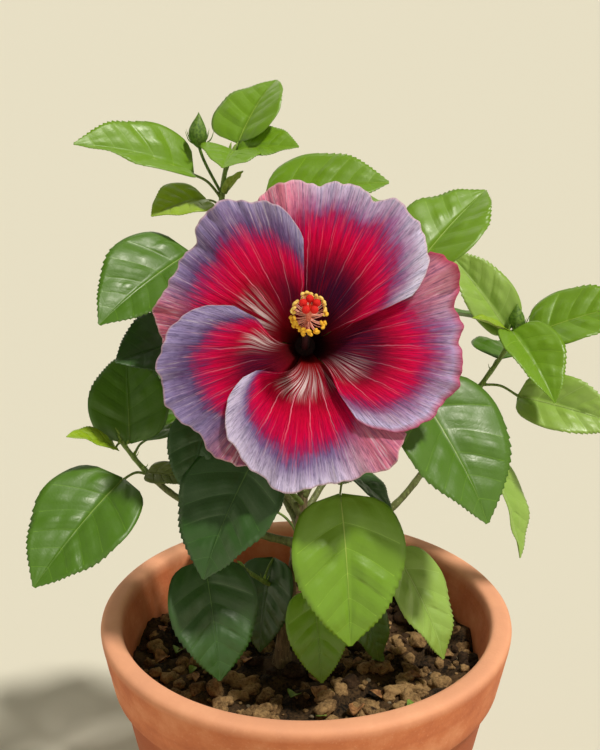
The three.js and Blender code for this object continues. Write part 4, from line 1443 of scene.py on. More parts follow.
@dataclass
class Blade:
    """A leaf blade: egg-shaped, quilted between its veins, toothed on its outer two thirds.

    Attributes:
        rib: The midrib's half width as a share of the blade's half width.
        sweep: How far the side veins sweep forward, as a share of the length.
        periods: Teeth up each side if they began at the base.
        teeth_a_vein: How many teeth apart the side veins end.
        quilt: How far the blade puffs up between the veins.
        wave: How far its margin waves, as a share of the length.
        lobe: How far its base reaches back beside the stalk, as a share of the length.
    """

    # At each quarter of a tooth: how far the rows of faces have come, which crowd together at a vein so that
    # it is a thin line, and how far the tooth stands out
    QUARTERS = (0, 0.25, 0.5, 0.75, 1)
    CROWDED = (0, 0.33, 0.66, 0.91, 1)
    TOOTH = (0, 0.32, 0.68, 1.0, 0.0)
    # The blade length at which the teeth, the quilting and the midrib have their full size
    FULL = 80.0

    thickness: float = 0.45
    droop: float = 22.0
    widest: float = 0.68
    fullness: float = 0.82
    point: float = 0.03
    across: int = 22
    along: int = 72
    rib: float = 0.017
    sweep: float = 0.3
    periods: int = 18
    teeth_a_vein: int = 3
    tooth: float = 1.25
    quilt: float = 3.1
    wave: float = 0.035
    lobe: float = 0.045

    def frame(self, leaf: Leaf) -> tuple[np.ndarray, np.ndarray, np.ndarray]:
        """The directions at a blade's base, tilted up so that the bent tip ends where its pitch points.

        Args:
            leaf: The leaf.

        Returns:
            Along the blade, to its right, and up out of its face.
        """
        along, right, face = directions(leaf.heading, leaf.pitch, leaf.roll)
        lift = math.radians(self.droop / 2)
        onward = along * math.cos(lift) + face * math.sin(lift)
        upward = face * math.cos(lift) - along * math.sin(lift)
        return np.array(onward), np.array(right), np.array(upward)

    def outline(self, share: np.ndarray) -> np.ndarray:
        """The half width at a share of the length, as a share of the greatest."""
        half = np.sin(np.pi * np.clip(share, 0.0, 1.0) ** self.widest) ** self.fullness
        drawn = 1.0 - 0.14 * smooth(share, 0.84, 0.99)
        return np.maximum(self.point, half * drawn)

    def surface(self, base: Vector, leaf: Leaf, chance: random.Random) -> Surface:
        """The middle of a blade's thickness.

        Args:
            base: Where its stalk ends.
            leaf: The leaf.
            chance: Sets how it waves, twists and curls.

        Returns:
            A function of across from -1 to 1 and along from 0 to 1.
        """
        onward, right, upward = self.frame(leaf)
        foot = np.array(base)
        bend, fold = math.radians(self.droop), math.radians(leaf.fold)
        half = leaf.length * leaf.wide / 2
        size = leaf.length / self.FULL
        phases = [chance.uniform(0, TAU) for _ in range(4)]
        twist = math.radians(chance.uniform(-9, 9))
        curl = chance.uniform(-0.02, 0.03) * leaf.length
        waves = chance.uniform(1.3, 2.1)
        step = 2.0 / self.across

        def place(x: np.ndarray, y: np.ndarray) -> np.ndarray:
            """The points for arrays of across and along.

            Args:
                x: Across the blade, from -1 to 1.
                y: Along it, from 0 to 1.

            Returns:
                The points.
            """
            side = np.minimum(np.abs(x), 1.001)
            beat = np.clip(y, 0.0, 1.0) * self.periods
            phase = beat - np.floor(beat)
            row = (np.floor(beat) + np.interp(phase, self.QUARTERS, self.CROWDED)) / self.periods
            outer = self.rib + (1 - self.rib) * (side - step) / (1 - step)
            inner = np.where(side < step, side / step * self.rib, outer)
            swept = self.sweep * np.sin(np.pi * row**0.75) * (1 - 0.5 * row)
            share = row + swept * side**1.3
            margin = self.outline(row + swept)
            lateral = inner * half * margin
            teeth = np.interp(phase, self.QUARTERS, self.TOOTH)
            toothed = smooth(row, 0.16, 0.34) * (1 - 0.55 * smooth(row, 0.8, 1.0))
            lateral = lateral + teeth * toothed * self.tooth * size * smooth(side, 0.84, 1.0)
            share = share - self.lobe * side**1.5 * np.exp(-(((row - 0.045) / 0.05) ** 2))
            between = ((beat / self.teeth_a_vein) % 1.0 + 0.03) % 1.0
            window = np.sin(np.pi * np.clip((side - step) / (1 - step), 0, 1) ** 0.75) ** 0.6
            dimples = 0.72 + 0.28 * np.cos(TAU * 2.6 * side + phases[0] + 3 * row)
            puff = np.sin(np.pi * between) ** 0.85 * dimples
            # No two fields between the veins are as high as each other
            number = np.floor(beat / self.teeth_a_vein + 0.03)
            puff = puff * (0.7 + 0.3 * np.cos(2.4 * number + 1.9 * (x > 0) + phases[1]))
            cells = 0.3 * np.cos(TAU * 5.2 * side + phases[3] + 5 * row) * np.sin(np.pi * between)
            rise = size * (self.quilt * puff + cells) * window * margin
            flutter = np.sin(TAU * waves * row + np.where(x > 0, phases[1], phases[2]))
            rise = rise + self.wave * leaf.length * side**2 * flutter * margin**1.5 * smooth(row, 0.04, 0.4)
            rise = rise - curl * smooth(share, 0.7, 1.0) ** 2
            # Folded up along the midrib, and over again towards the margins
            up = lateral * math.sin(fold) * 1.25 - 0.32 * math.sin(fold) * lateral**2 / half
            signed = np.sign(x) * lateral * math.cos(fold)
            spun = twist * share
            turned = bend * share
            out = upward * np.cos(turned)[:, None] + onward * np.sin(turned)[:, None]
            aside = signed * np.cos(spun) - (up + rise) * np.sin(spun)
            above = signed * np.sin(spun) + (up + rise) * np.cos(spun)
            return (
                foot
                + onward * (leaf.length * np.sin(turned) / bend)[:, None]
                - upward * (leaf.length * (1 - np.cos(turned)) / bend)[:, None]
                + right * aside[:, None]
                + out * above[:, None]
            )

        return place

    def shape(
        self, base: Vector, leaf: Leaf, first_slot: int, back_slot: int, cells: tuple[Cell, Cell], seed: int
    ) -> Mesh:
        """One blade as a closed sheet.

        Args:
            base: Where its stalk ends.
            leaf: The leaf.
            first_slot: The slot of its blade's colour, then those of its veins and its midrib.
            back_slot: The slot of its underside.
            cells: Its part of the bake map.
            seed: Sets how it waves and curls.

        Returns:
            The blade, in millimetres.
        """
        step = 2.0 / self.across

        def slot_of(x: float, y: float, side: int) -> int:
            """Midrib, side vein or blade.

            Args:
                x: Across the blade.
                y: Along it.
                side: Below 0 for its back.

            Returns:
                The material slot.
            """
            if side < 0:
                return back_slot
            if abs(x) < step:
                return first_slot + 2
            beat = y * self.periods
            vein = beat % self.teeth_a_vein > self.teeth_a_vein - 0.25 and y < 0.9 and abs(x) < 0.9
            return first_slot + (1 if vein and side > 0 else 0)

        def thickness(x: np.ndarray, y: np.ndarray) -> np.ndarray:
            """Thicker at the midrib, which stands out below."""
            return self.thickness + 0.9 * (1 - 0.75 * y) * (np.abs(x) < step / 2) * leaf.length / self.FULL

        chance = random.Random(seed)
        return slab(self.across, self.along, self.surface(base, leaf, chance), thickness, slot_of, cells)


@dataclass
class Foliage:
    """The shoots: stems, leaf stalks with their stipules, blades, growing tips and buds."""

    STEM_TOP = 0.97

    blade: Blade = field(default_factory=Blade)
    stem_foot: float = 1.9
    stem_tip: float = 1.3
    stem_sunk: float = 2.2
    stalk: float = 0.95
    stalk_tip: float = 0.75
    stalk_sag: float = 0.12
    blade_root: float = 6.0
    bracts: int = 7
    groups: dict[str, tuple[str, ...]] = field(
        default_factory=lambda: {
            "leaves_crown": ("crown_shoot", "upper_left_shoot", "back_top_shoot"),
            "leaves_left": ("left_shoot", "left_front_shoot", "lower_left_shoot"),
            "leaves_right": ("front_shoot", "lower_right_shoot", "upper_right_shoot", "right_shoot"),
            "leaves_back": ("back_low_shoot", "back_left_shoot", "back_right_shoot"),
        }
    )

    def build(self) -> None:
        """Makes the leaves in four pieces, the twigs in one and the buds in one."""
        backs = (
            Spiral("back_left_shoot", ((-50.2, 80.2, 385.4), (-54, 88, 408), (-54, 92, 432)), 12, 100, 7),
            Spiral("back_right_shoot", ((46.2, 78.2, 398.4), (50, 86, 422), (50, 90, 446)), 8, 240, 6),
        )
        shoots = {shoot.name: shoot for shoot in (*SHOOTS, *(back.shoot() for back in backs))}
        finishes: list[LeafSkin | bpy.types.Material] = []
        for tone in Tone:
            blade, vein, rib = tone.value
            name = tone.name.lower()
            finishes += [
                LeafSkin(f"leaf_waxy_{name}", blade).material(),
                LeafSkin(f"leaf_vein_{name}", vein, 0.34, 0.46).material(),
                LeafSkin(f"leaf_midrib_{name}", rib, 0.4, 0.5).material(),
            ]
        # Both undersides are brighter and yellower than a leaf's back, partly a painted glow of light through
        # the leaf; the pale one, on sunlit and young leaves, most
        dull = LeafSkin("leaf_underside_dull", "5E7E2C", 0.5, 0.62).material()
        pale = LeafSkin("leaf_underside_pale", "94AE34", 0.5, 0.62).material()
        finishes += [dull, pale]
        tones = list(Tone)
        for piece, names in self.groups.items():
            leaves = Gathered()
            maps = iter(atlas(sum(len(shoots[name].leaves) for name in names)))
            for name in names:
                route = Route(shoots[name].stem)
                for i, leaf in enumerate(shoots[name].leaves):
                    base = route.at(leaf.at * self.STEM_TOP) + Vector(leaf.stalk)
                    first = 3 * tones.index(leaf.tone)
                    back = 3 * len(tones) + (1 if leaf.tone in (Tone.LIGHT, Tone.YOUNG, Tone.BRIGHT) else 0)
                    seed = sum(map(ord, name)) * 31 + i
                    leaves.take(self.blade.shape(base, leaf, first, back, next(maps), seed))
            leaves.finish(piece, finishes, Slot.FOLIAGE, names)
        self.twigs(shoots)

    def twigs(self, shoots: dict[str, Shoot]) -> None:
        """Makes the stems with the leaf stalks, their stipules and the growing tips, and then the buds.

        Args:
            shoots: The shoots by name.
        """
        wood, buds = Gathered(), Gathered()
        for shoot in shoots.values():
            route = Route(shoot.stem)
            # The stem begins a little inside the bough's tip, so that no gap shows
            start = route.at(0.0) - route.tangent(0.0) * self.stem_sunk
            whole = Route([start, *shoot.stem])
            nodes = [leaf.at * self.STEM_TOP for leaf in shoot.leaves]

            def stem_radius(share: float, turn: float, nodes: list[float] = nodes) -> float:
                """The stem's radius, swollen at each node."""
                swell = sum(math.exp(-(((share - node) / 0.05) ** 2)) for node in nodes)
                ribs = 1 + 0.04 * math.cos(5 * turn)
                return lerp(self.stem_foot, self.stem_tip, share) * (1 + 0.16 * min(1.3, swell)) * ribs

            wood.take(tube(whole, stem_radius, 14, 40), 0)
            for i, leaf in enumerate(shoot.leaves):
                node = route.at(leaf.at * self.STEM_TOP)
                self.leaf_stalk(wood, node, leaf)
                self.stipules(wood, node, leaf, i)
            self.growing_tip(wood, route)
            for bud in shoot.buds:
                self.bud(buds, route.at(bud.at * self.STEM_TOP), bud)
        names = [shoot.name for shoot in shoots.values()]
        green = Stem("shoot_green_stem", "7F9A45", "5E7430", "A9B578")
        fresh = Flesh("stipule_fresh_green", "93AE4E", "6F8F36", 2.0)
        wood.finish("twigs_green", [green, fresh], Slot.FOLIAGE, names)
        sepal = Flesh("bud_sepal_green", "6E8F38", "4A6C26", 1.6, 0.5)
        buds.finish("buds", [sepal], Slot.FOLIAGE)

    def leaf_stalk(self, wood: Gathered, node: Vector, leaf: Leaf) -> None:
        """A leaf's stalk, thicker where it joins the stem and where it joins the blade.

        Args:
            wood: What it joins.
            node: Where it begins on the stem.
            leaf: The leaf.
        """
        base = node + Vector(leaf.stalk)
        onward, _, upward = self.blade.frame(leaf)
        middle = node.lerp(base, 0.5)
        middle.z += (base - node).length * self.stalk_sag
        lower = Vector(upward) * -0.5
        ends = [base + lower, base + Vector(onward) * self.blade_root + lower]
        size = min(1.0, 0.55 + leaf.length / 160)

        def radius(share: float, turn: float) -> float:
            """The stalk's radius, tapering to nothing along the midrib."""
            foot = 0.45 * math.exp(-((share / 0.07) ** 2))
            knee = 0.3 * math.exp(-(((share - 0.8) / 0.07) ** 2))
            sinking = 1.0 - 0.6 * float(smooth(share, 0.86, 1.0))
            return lerp(self.stalk, self.stalk_tip, share) * size * (1 + (foot + knee)) * sinking

        wood.take(tube(Route([node, middle, *ends], centripetal=True), radius, 10, 26), 0)

    def stipules(self, wood: Gathered, node: Vector, leaf: Leaf, i: int) -> None:
        """The two thin stipules beside a stalk's foot, and the small bud in its angle.

        Args:
            wood: What they join.
            node: Where the stalk begins.
            leaf: The leaf.
            i: The leaf's number on its stem.
        """
        out = Vector(leaf.stalk).normalized()
        aside = out.cross(Vector((0, 0, 1))).normalized()
        for sign in (-1, 1):
            tip = node + out * 2.0 + aside * sign * 3.2 + Vector((0, 0, 3.4))
            middle = node + out * 1.2 + aside * sign * 2.4 + Vector((0, 0, 1.0))
            line = Route([node + aside * sign * 0.8, middle, tip])
            wood.take(tube(line, lambda s, t: 0.5 * (1 - s) ** 0.7, 5, 5), 1)
        rise = Vector((out.x * 0.6, out.y * 0.6, 1.0)).normalized()
        swell = 0.9 + 0.25 * (i % 3)
        bud = Route([node + out * 0.8, node + out * 1.3 + rise * 1.6, node + out * 1.5 + rise * 3.6])

        def radius(share: float, turn: float) -> float:
            """The bud's radius."""
            return swell * math.sin(math.pi * min(1.0, 0.25 + 0.75 * share)) ** 0.8 + 0.01

        wood.take(tube(bud, radius, 7, 6), 1)

    def growing_tip(self, wood: Gathered, route: Route) -> None:
        """The folded young leaves at a stem's end.

        Args:
            wood: What they join.
            route: The stem's line.
        """
        end, on = route.at(1.0), route.tangent(1.0)
        across = on.orthogonal().normalized()
        for k in range(4):
            spread = across.copy()
            spread.rotate(Quaternion(on, k * math.radians(GOLDEN)))
            long = 9.0 - 1.6 * k
            middle = end + on * long * 0.5 + spread * 1.7
            line = Route([end - on * 1.0, middle, end + on * long + spread * (2.6 - 0.5 * k)])

            def radius(share: float, turn: float, long: float = long) -> float:
                """The folded leaf's radius, flatter one way than the other."""
                swell = 0.16 * long * math.sin(math.pi * min(1, share * 0.92 + 0.06)) ** 0.9
                return swell * (1 - 0.55 * abs(math.sin(turn))) + 0.02

            wood.take(tube(line, radius, 8, 9), 1)

    def bud(self, buds: Gathered, node: Vector, shape: FlowerBud) -> None:
        """A bud: its stalk, its five-ribbed body of closed sepals, and the narrow bracts under it.

        Args:
            buds: What it joins.
            node: Where its stalk begins.
            shape: Its sizes.
        """
        base = node + Vector(shape.stalk)
        top = base + Vector((0, 0, shape.length))
        route = Route([node, base, top], centripetal=True)
        start = (base - node).length / ((base - node).length + shape.length)

        def radius(share: float, turn: float) -> float:
            """Stalk first, then the swelling of the bud with its ribs."""
            up = max(0.0, (share - start) / (1 - start))
            body = shape.girth * math.sin(math.pi * min(1.0, up) ** 0.8) ** 1.2 if up > 0 else 0.0
            ribs = 1.0 + 0.07 * math.cos(5 * turn) * math.sin(math.pi * up)
            return max(0.02, self.stalk * (1 - up) + body * ribs)

        buds.take(tube(route, radius, 25, 60), 0)
        for k in range(self.bracts):
            turn = TAU * k / self.bracts
            out = Vector((math.cos(turn), math.sin(turn), 0))
            foot = base + Vector((0, 0, 1.5)) + out * 1.2
            middle = foot + out * (shape.girth + 0.6) + Vector((0, 0, 3.5))
            tip = foot + out * (shape.girth + 3.0) + Vector((0, 0, 9.5))
            buds.take(tube(Route([foot, middle, tip]), lambda s, t: 0.55 * (1 - s) ** 0.6 + 0.02, 6, 8), 0)


@dataclass(frozen=True)
class PetalPlan:
    """One petal: the headings of its claw and its middle, its fan to each side, its reach, corner and margin.

    The margin's lobes are places across, each with the share of the reach that it comes to.
    """

    claw: float
    heading: float
    span: float
    reach: float
    corner: float
    lobes: tuple[tuple[float, float], ...]
    face: PetalFace


@dataclass
class Bloom:
    """The open bloom: five overlapping petals round a deep throat, the green cup, and the stamens.

    Attributes:
        puckered: How far the margin stands forward where it swells, and back where it is drawn in.
    """

    throat: Triple = (-1.0, -72.0, 457.0)
    rise: float = 18.0
    radius: float = 95.0
    depth: float = 36.0
    claw_radius: float = 6.5
    claw_span: float = 34.5
    funnel: float = 11.0
    dish: float = 8.0
    dish_edge: float = 0.9
    twist: float = 3.6
    hidden_corner: float = 0.14
    corner_power: float = 2.5
    crowding: float = 1.3
    ruffle: float = 2.2
    scallop: float = 0.0075
    frill: float = 1.9
    puckered: float = 54.0
    across: int = 130
    along: int = 76
    # Each petal's verge, margin and eye are darker or paler by how the light falls on it: painted shade and
    # painted light
    petals: tuple[PetalPlan, ...] = (
        PetalPlan(-46, -45, 44, 93, 0.38, (
            (-1, 1.01), (-0.69, 1.02), (-0.51, 0.935), (-0.17, 0.928), (-0.05, 0.912), (0.06, 0.98),
            (0.19, 1.02), (0.43, 1.045), (0.56, 1.01), (0.66, 1.05), (0.78, 1.09), (1, 1.05),
        ), PetalFace(1, 0.78, 0.12, "664678", "A296C2", "C05A6C", "720612",
                     (0.34, 0.24, 0.75, 0.36), (0.88, 0.3, 0.6))),
        PetalPlan(26, 22, 43, 96, 0.38, (
            (-1, 1.02), (-0.73, 1.045), (-0.4, 0.965), (-0.28, 0.985), (-0.11, 1.005), (0.06, 0.945),
            (0.13, 0.965), (0.21, 1.025), (0.52, 1.045), (0.72, 1.08), (0.9, 1.13), (1, 1.12),
        ), PetalFace(2, 0.79, 0.14, "9C6298", "E2DAFC", "F0809C", "2C030E",
                     (0.1, 0.1, 0.2, 0.3), (0.56, 0.56, 0.95))),
        PetalPlan(98, 99, 46, 91, 0.46, (
            (-1, 1.13), (-0.8, 1.16), (-0.5, 0.98), (-0.37, 1.01), (-0.2, 0.965), (0.05, 1),
            (0.33, 0.955), (0.67, 0.99), (1, 1.05),
        ), PetalFace(3, 0.76, 0.14, "925488", "CABCEA", "E28CA6", "26030C",
                     (0.76, 0.3, 0.34, 0.3), (0.42, 0.46, 0.9), ("B4304E", 0.94, 0.8))),
        PetalPlan(170, 187, 56, 84, 0.55, (
            (-1, 1.05), (-0.74, 1.085), (-0.59, 1), (-0.29, 0.965), (-0.18, 0.94), (-0.09, 1.005),
            (0.03, 1.01), (0.2, 0.95), (0.46, 0.92), (0.75, 0.98), (1, 1.06),
        ), PetalFace(4, 0.71, 0.1, "7A629A", "D6CAF0", "CC6480", "960C10",
                     (0.58, 0.5, 0.95, 0.24), (0.1, 0.16, 0.5))),
        PetalPlan(242, 250, 49, 87, 0.5, (
            (-1, 0.98), (-0.62, 0.99), (-0.48, 0.94), (-0.34, 0.912), (-0.22, 0.965), (-0.09, 0.99),
            (0.1, 0.975), (0.25, 0.995), (0.45, 0.98), (0.63, 1.015), (1, 1.06),
        ), PetalFace(5, 0.73, 0.14, "5E4274", "A092C4", "A85464", "620610",
                     (0.88, 0.24, 0.8, 0.33), (0.5, 0.36, 0.75))),
    )

    def axes(self) -> tuple[np.ndarray, np.ndarray, np.ndarray]:
        """The directions out to the viewer, up in the bloom's face, and right."""
        tilt = math.radians(self.rise)
        return (
            np.array((0.0, -math.cos(tilt), math.sin(tilt))),
            np.array((0.0, math.sin(tilt), math.cos(tilt))),
            np.array((1.0, 0.0, 0.0)),
        )

    def place(self, radius: np.ndarray, heading: np.ndarray, height: np.ndarray) -> np.ndarray:
        """Places in the bloom, by numbers or by arrays.

        Args:
            radius: How far off its axis.
            heading: At what clock heading in degrees.
            height: How far out along its axis.

        Returns:
            The point or points.
        """
        out, up, right = self.axes()
        turn = np.radians(heading)
        ways = (height, out), (radius * np.cos(turn), up), (radius * np.sin(turn), right)
        steps = [np.asarray(far, float)[..., None] * way for far, way in ways]
        return np.array(self.throat) + steps[0] + steps[1] + steps[2]

    def funnel_height(self, radius: np.ndarray) -> np.ndarray:
        """How far the petals stand out along the axis at a distance from it."""
        share = radius / self.radius
        throat = -self.depth * np.exp(-(radius - self.claw_radius) / self.funnel)
        return throat + self.dish * (share - self.dish_edge * share**3)

    def claw_line(self, height: float) -> float:
        """How far from the axis the petals' claws run at a height in the throat."""
        return self.claw_radius - self.funnel * math.log(-height / self.depth)

    def petal_surface(self, plan: PetalPlan, index: int) -> tuple[Surface, Surface]:
        """One petal's middle surface, and the map that its pattern is drawn in.

        Args:
            plan: The petal.
            index: Its number from 0.

        Returns:
            The surface, and the map of across and reach.
        """

        def lobes(x: np.ndarray) -> np.ndarray:
            """How far the margin swells or is drawn in, as a share of the reach."""
            places, factors = zip(*plan.lobes)
            around = [np.interp(x + shift, places, factors) for shift in (-0.05, -0.025, 0.0, 0.025, 0.05)]
            return sum(around) / len(around)

        def radius_at(x: np.ndarray, y: np.ndarray) -> np.ndarray:
            """How far off the axis a place lies, with the margin's lobes and nicks.

            Args:
                x: Across the petal, from -1 to 1.
                y: Outwards, from 0 to 1.

            Returns:
                The distances.
            """
            corner = np.where(x > 0, plan.corner, self.hidden_corner)
            shorter = corner * np.minimum(np.abs(x), 1.0) ** self.corner_power
            nicks = np.sin(23.0 * x + 2.1 * index) + 0.6 * np.sin(41.0 * x + index) + 0.4 * np.sin(67.0 * x)
            edge = 1.0 + (lobes(x) - 1.0 + self.scallop * nicks) * smooth(y, 0.5, 1.0)
            margin = plan.reach * (1 - shorter) * edge
            return lerp(self.claw_radius, margin, np.clip(y, 0, 1) ** self.crowding)

        def surface(x: np.ndarray, y: np.ndarray) -> np.ndarray:
            """The points.

            Args:
                x: Across the petal, from -1 to 1.
                y: Outwards, from 0 to 1.

            Returns:
                The points.
            """
            radius = radius_at(x, y)
            share = radius / plan.reach
            opened = smooth(share, 0.12, 0.38)
            turned = lerp(plan.claw, plan.heading, opened) + lerp(self.claw_span, plan.span, opened) * x
            over = self.twist * smooth(share, 0.06, 0.3) * x
            ruffle = np.sin(3 * np.pi * x + index) * self.ruffle * share**4
            wave = ruffle + (lobes(x) - 0.98) * self.puckered * share**5
            frills = np.sin(8.7 * np.pi * x + 2.0 * index) + 0.5 * np.sin(17.3 * np.pi * x + index)
            frill = self.frill * share**9 * frills
            ribs = 0.34 * np.abs(np.sin(np.pi * 11 * x + 0.6 * index)) ** 0.6 * smooth(share, 0.2, 0.5)
            fine = 0.11 * np.sin(np.pi * 37 * x + 4 * np.sin(3 * share + index)) * smooth(share, 0.3, 0.6)
            return self.place(radius, turned, self.funnel_height(radius) + over + wave + frill + ribs + fine)

        def pattern(x: np.ndarray, y: np.ndarray) -> np.ndarray:
            """Across from 0 to 1 clockwise, and the share of the way out to the margin."""
            near = self.claw_radius / plan.reach
            return np.stack([x * 0.5 + 0.5, lerp(near, 1.0, np.clip(y, 0, 1) ** self.crowding)], axis=1)

        return surface, pattern

    def build(self) -> None:
        """Makes the petals, the cup and the stamens."""
        back = PetalBack().material()
        for index, plan in enumerate(self.petals):
            surface, pattern = self.petal_surface(plan, index)
            petal = Gathered()
            petal.take(
                slab(
                    self.across,
                    self.along,
                    surface,
                    lambda x, y: 0.75 - 0.4 * smooth(y, 0.5, 1.0),
                    lambda x, y, side: 1 if side < 0 else 0,
                    ((0.0, 0.0, 0.5, 1.0), (0.5, 0.0, 0.5, 1.0)),
                    pattern,
                )
            )
            name = f"petal_{index + 1}"
            petal.finish(f"{name}_velvet", [plan.face, back], Slot.PETAL, [name])
        FlowerCup(self).build()
        Stamens(self).build()


@dataclass
class FlowerCup:
    """The green five-lobed cup that holds the petals' claws, its bracts, and the bloom's stalk."""

    bloom: Bloom
    floor: float = -36.1
    floor_radius: float = 7.4
    heights: tuple[float, ...] = (-33.0, -30.5, -28.0, -25.2, -22.5, -19.6, -17.0)
    base: tuple[tuple[float, float], ...] = ((0.0, 4.5), (2.6, 4.4), (5.0, 3.8), (7.2, 1.8))
    bract: tuple[tuple[float, float], ...] = ((5.5, -38.5), (11.5, -36.5), (14.5, -30.0), (18.5, -24.0))
    bracts: int = 7
    room: float = 1.5
    wall: float = 1.1
    lip: float = 0.6
    lobe: float = 4.2
    lobe_foot: float = -26.0

    def build(self) -> None:
        """Makes the cup, its bracts and the stalk as one piece."""
        green = Gathered()
        inner = [(self.bloom.claw_line(height) + self.room, height) for height in self.heights]
        outer = [(radius + self.wall, height - self.lip) for radius, height in inner]
        base = [(radius, self.floor - drop) for radius, drop in self.base]
        profile = [*base, *outer, *reversed(inner), (self.floor_radius, self.floor), (0.0, self.floor)]
        shape = turned_profile(profile, 80)
        for face in shape.faces:
            middle = face.calc_center_median()
            inside = middle.z > self.floor - 0.1 and math.hypot(middle.x, middle.y) < 11.0
            face.material_index = 2 if inside else 0
        for vert in shape.verts:
            heading = math.degrees(math.atan2(vert.co.x, vert.co.y))
            radius, height = math.hypot(vert.co.x, vert.co.y), vert.co.z
            rising = float(smooth(height, self.lobe_foot, self.heights[-1]))
            # Pointed lobes, which follow the petals out as they rise
            lobe = rising * self.lobe * (1.0 - 2.0 * abs(math.sin(math.radians(2.5 * heading))) ** 0.8)
            wider = 0.0
            if height > self.lobe_foot:
                wider = self.bloom.claw_line(height + lobe) - self.bloom.claw_line(height)
            ribs = 0.25 * math.cos(math.radians(10 * heading)) if radius > 6.0 else 0.0
            vert.co = Vector(self.bloom.place(radius + wider + ribs, heading, height + lobe))
        bmesh.ops.recalc_face_normals(shape, faces=shape.faces)
        green.take(shape)
        for k in range(self.bracts):
            heading = 360.0 * k / self.bracts + 12
            line = Route([self.bloom.place(radius, heading, height) for radius, height in self.bract])
            green.take(tube(line, lambda s, t: 0.8 * (1 - s) ** 0.7 + 0.03, 8, 14), 0)
        green.take(self.pedicel(), 1)
        sepal = Flesh("calyx_sepal_green", "7E9C48", "5A7A30", 2.2, 0.5)
        stalk = Stem("flower_stalk_green", "80984C", "62783A", "A9B478")
        wine = Flesh("calyx_throat_wine", "300609", "1A0305", 1.5, 0.7)
        green.finish("flower_cup_green", [sepal, stalk, wine], Slot.CUP, ["flower_cup"])

    def pedicel(self) -> Mesh:
        """The stalk from the flowering branch to the cup's seat, jointed near its middle."""
        branch = Route(next(bough.route for bough in BOUGHS if bough.name == "flower_branch"))
        foot = branch.at(1.0) - branch.tangent(1.0) * 1.5
        behind = self.bloom.place(0.0, 0.0, self.floor - 2.0 - 9.0)
        seat = self.bloom.place(0.0, 0.0, self.floor - 2.0)
        route = Route([foot, foot + Vector((0, -4, 9)), behind, seat], centripetal=True)

        def radius(share: float, turn: float) -> float:
            """Thicker towards the cup, with the joint's ring."""
            joint = 0.35 * math.exp(-(((share - 0.42) / 0.03) ** 2))
            return lerp(2.1, 2.5, share**3) + joint + 0.05 * math.cos(6 * turn)

        return tube(route, radius, 18, 60)


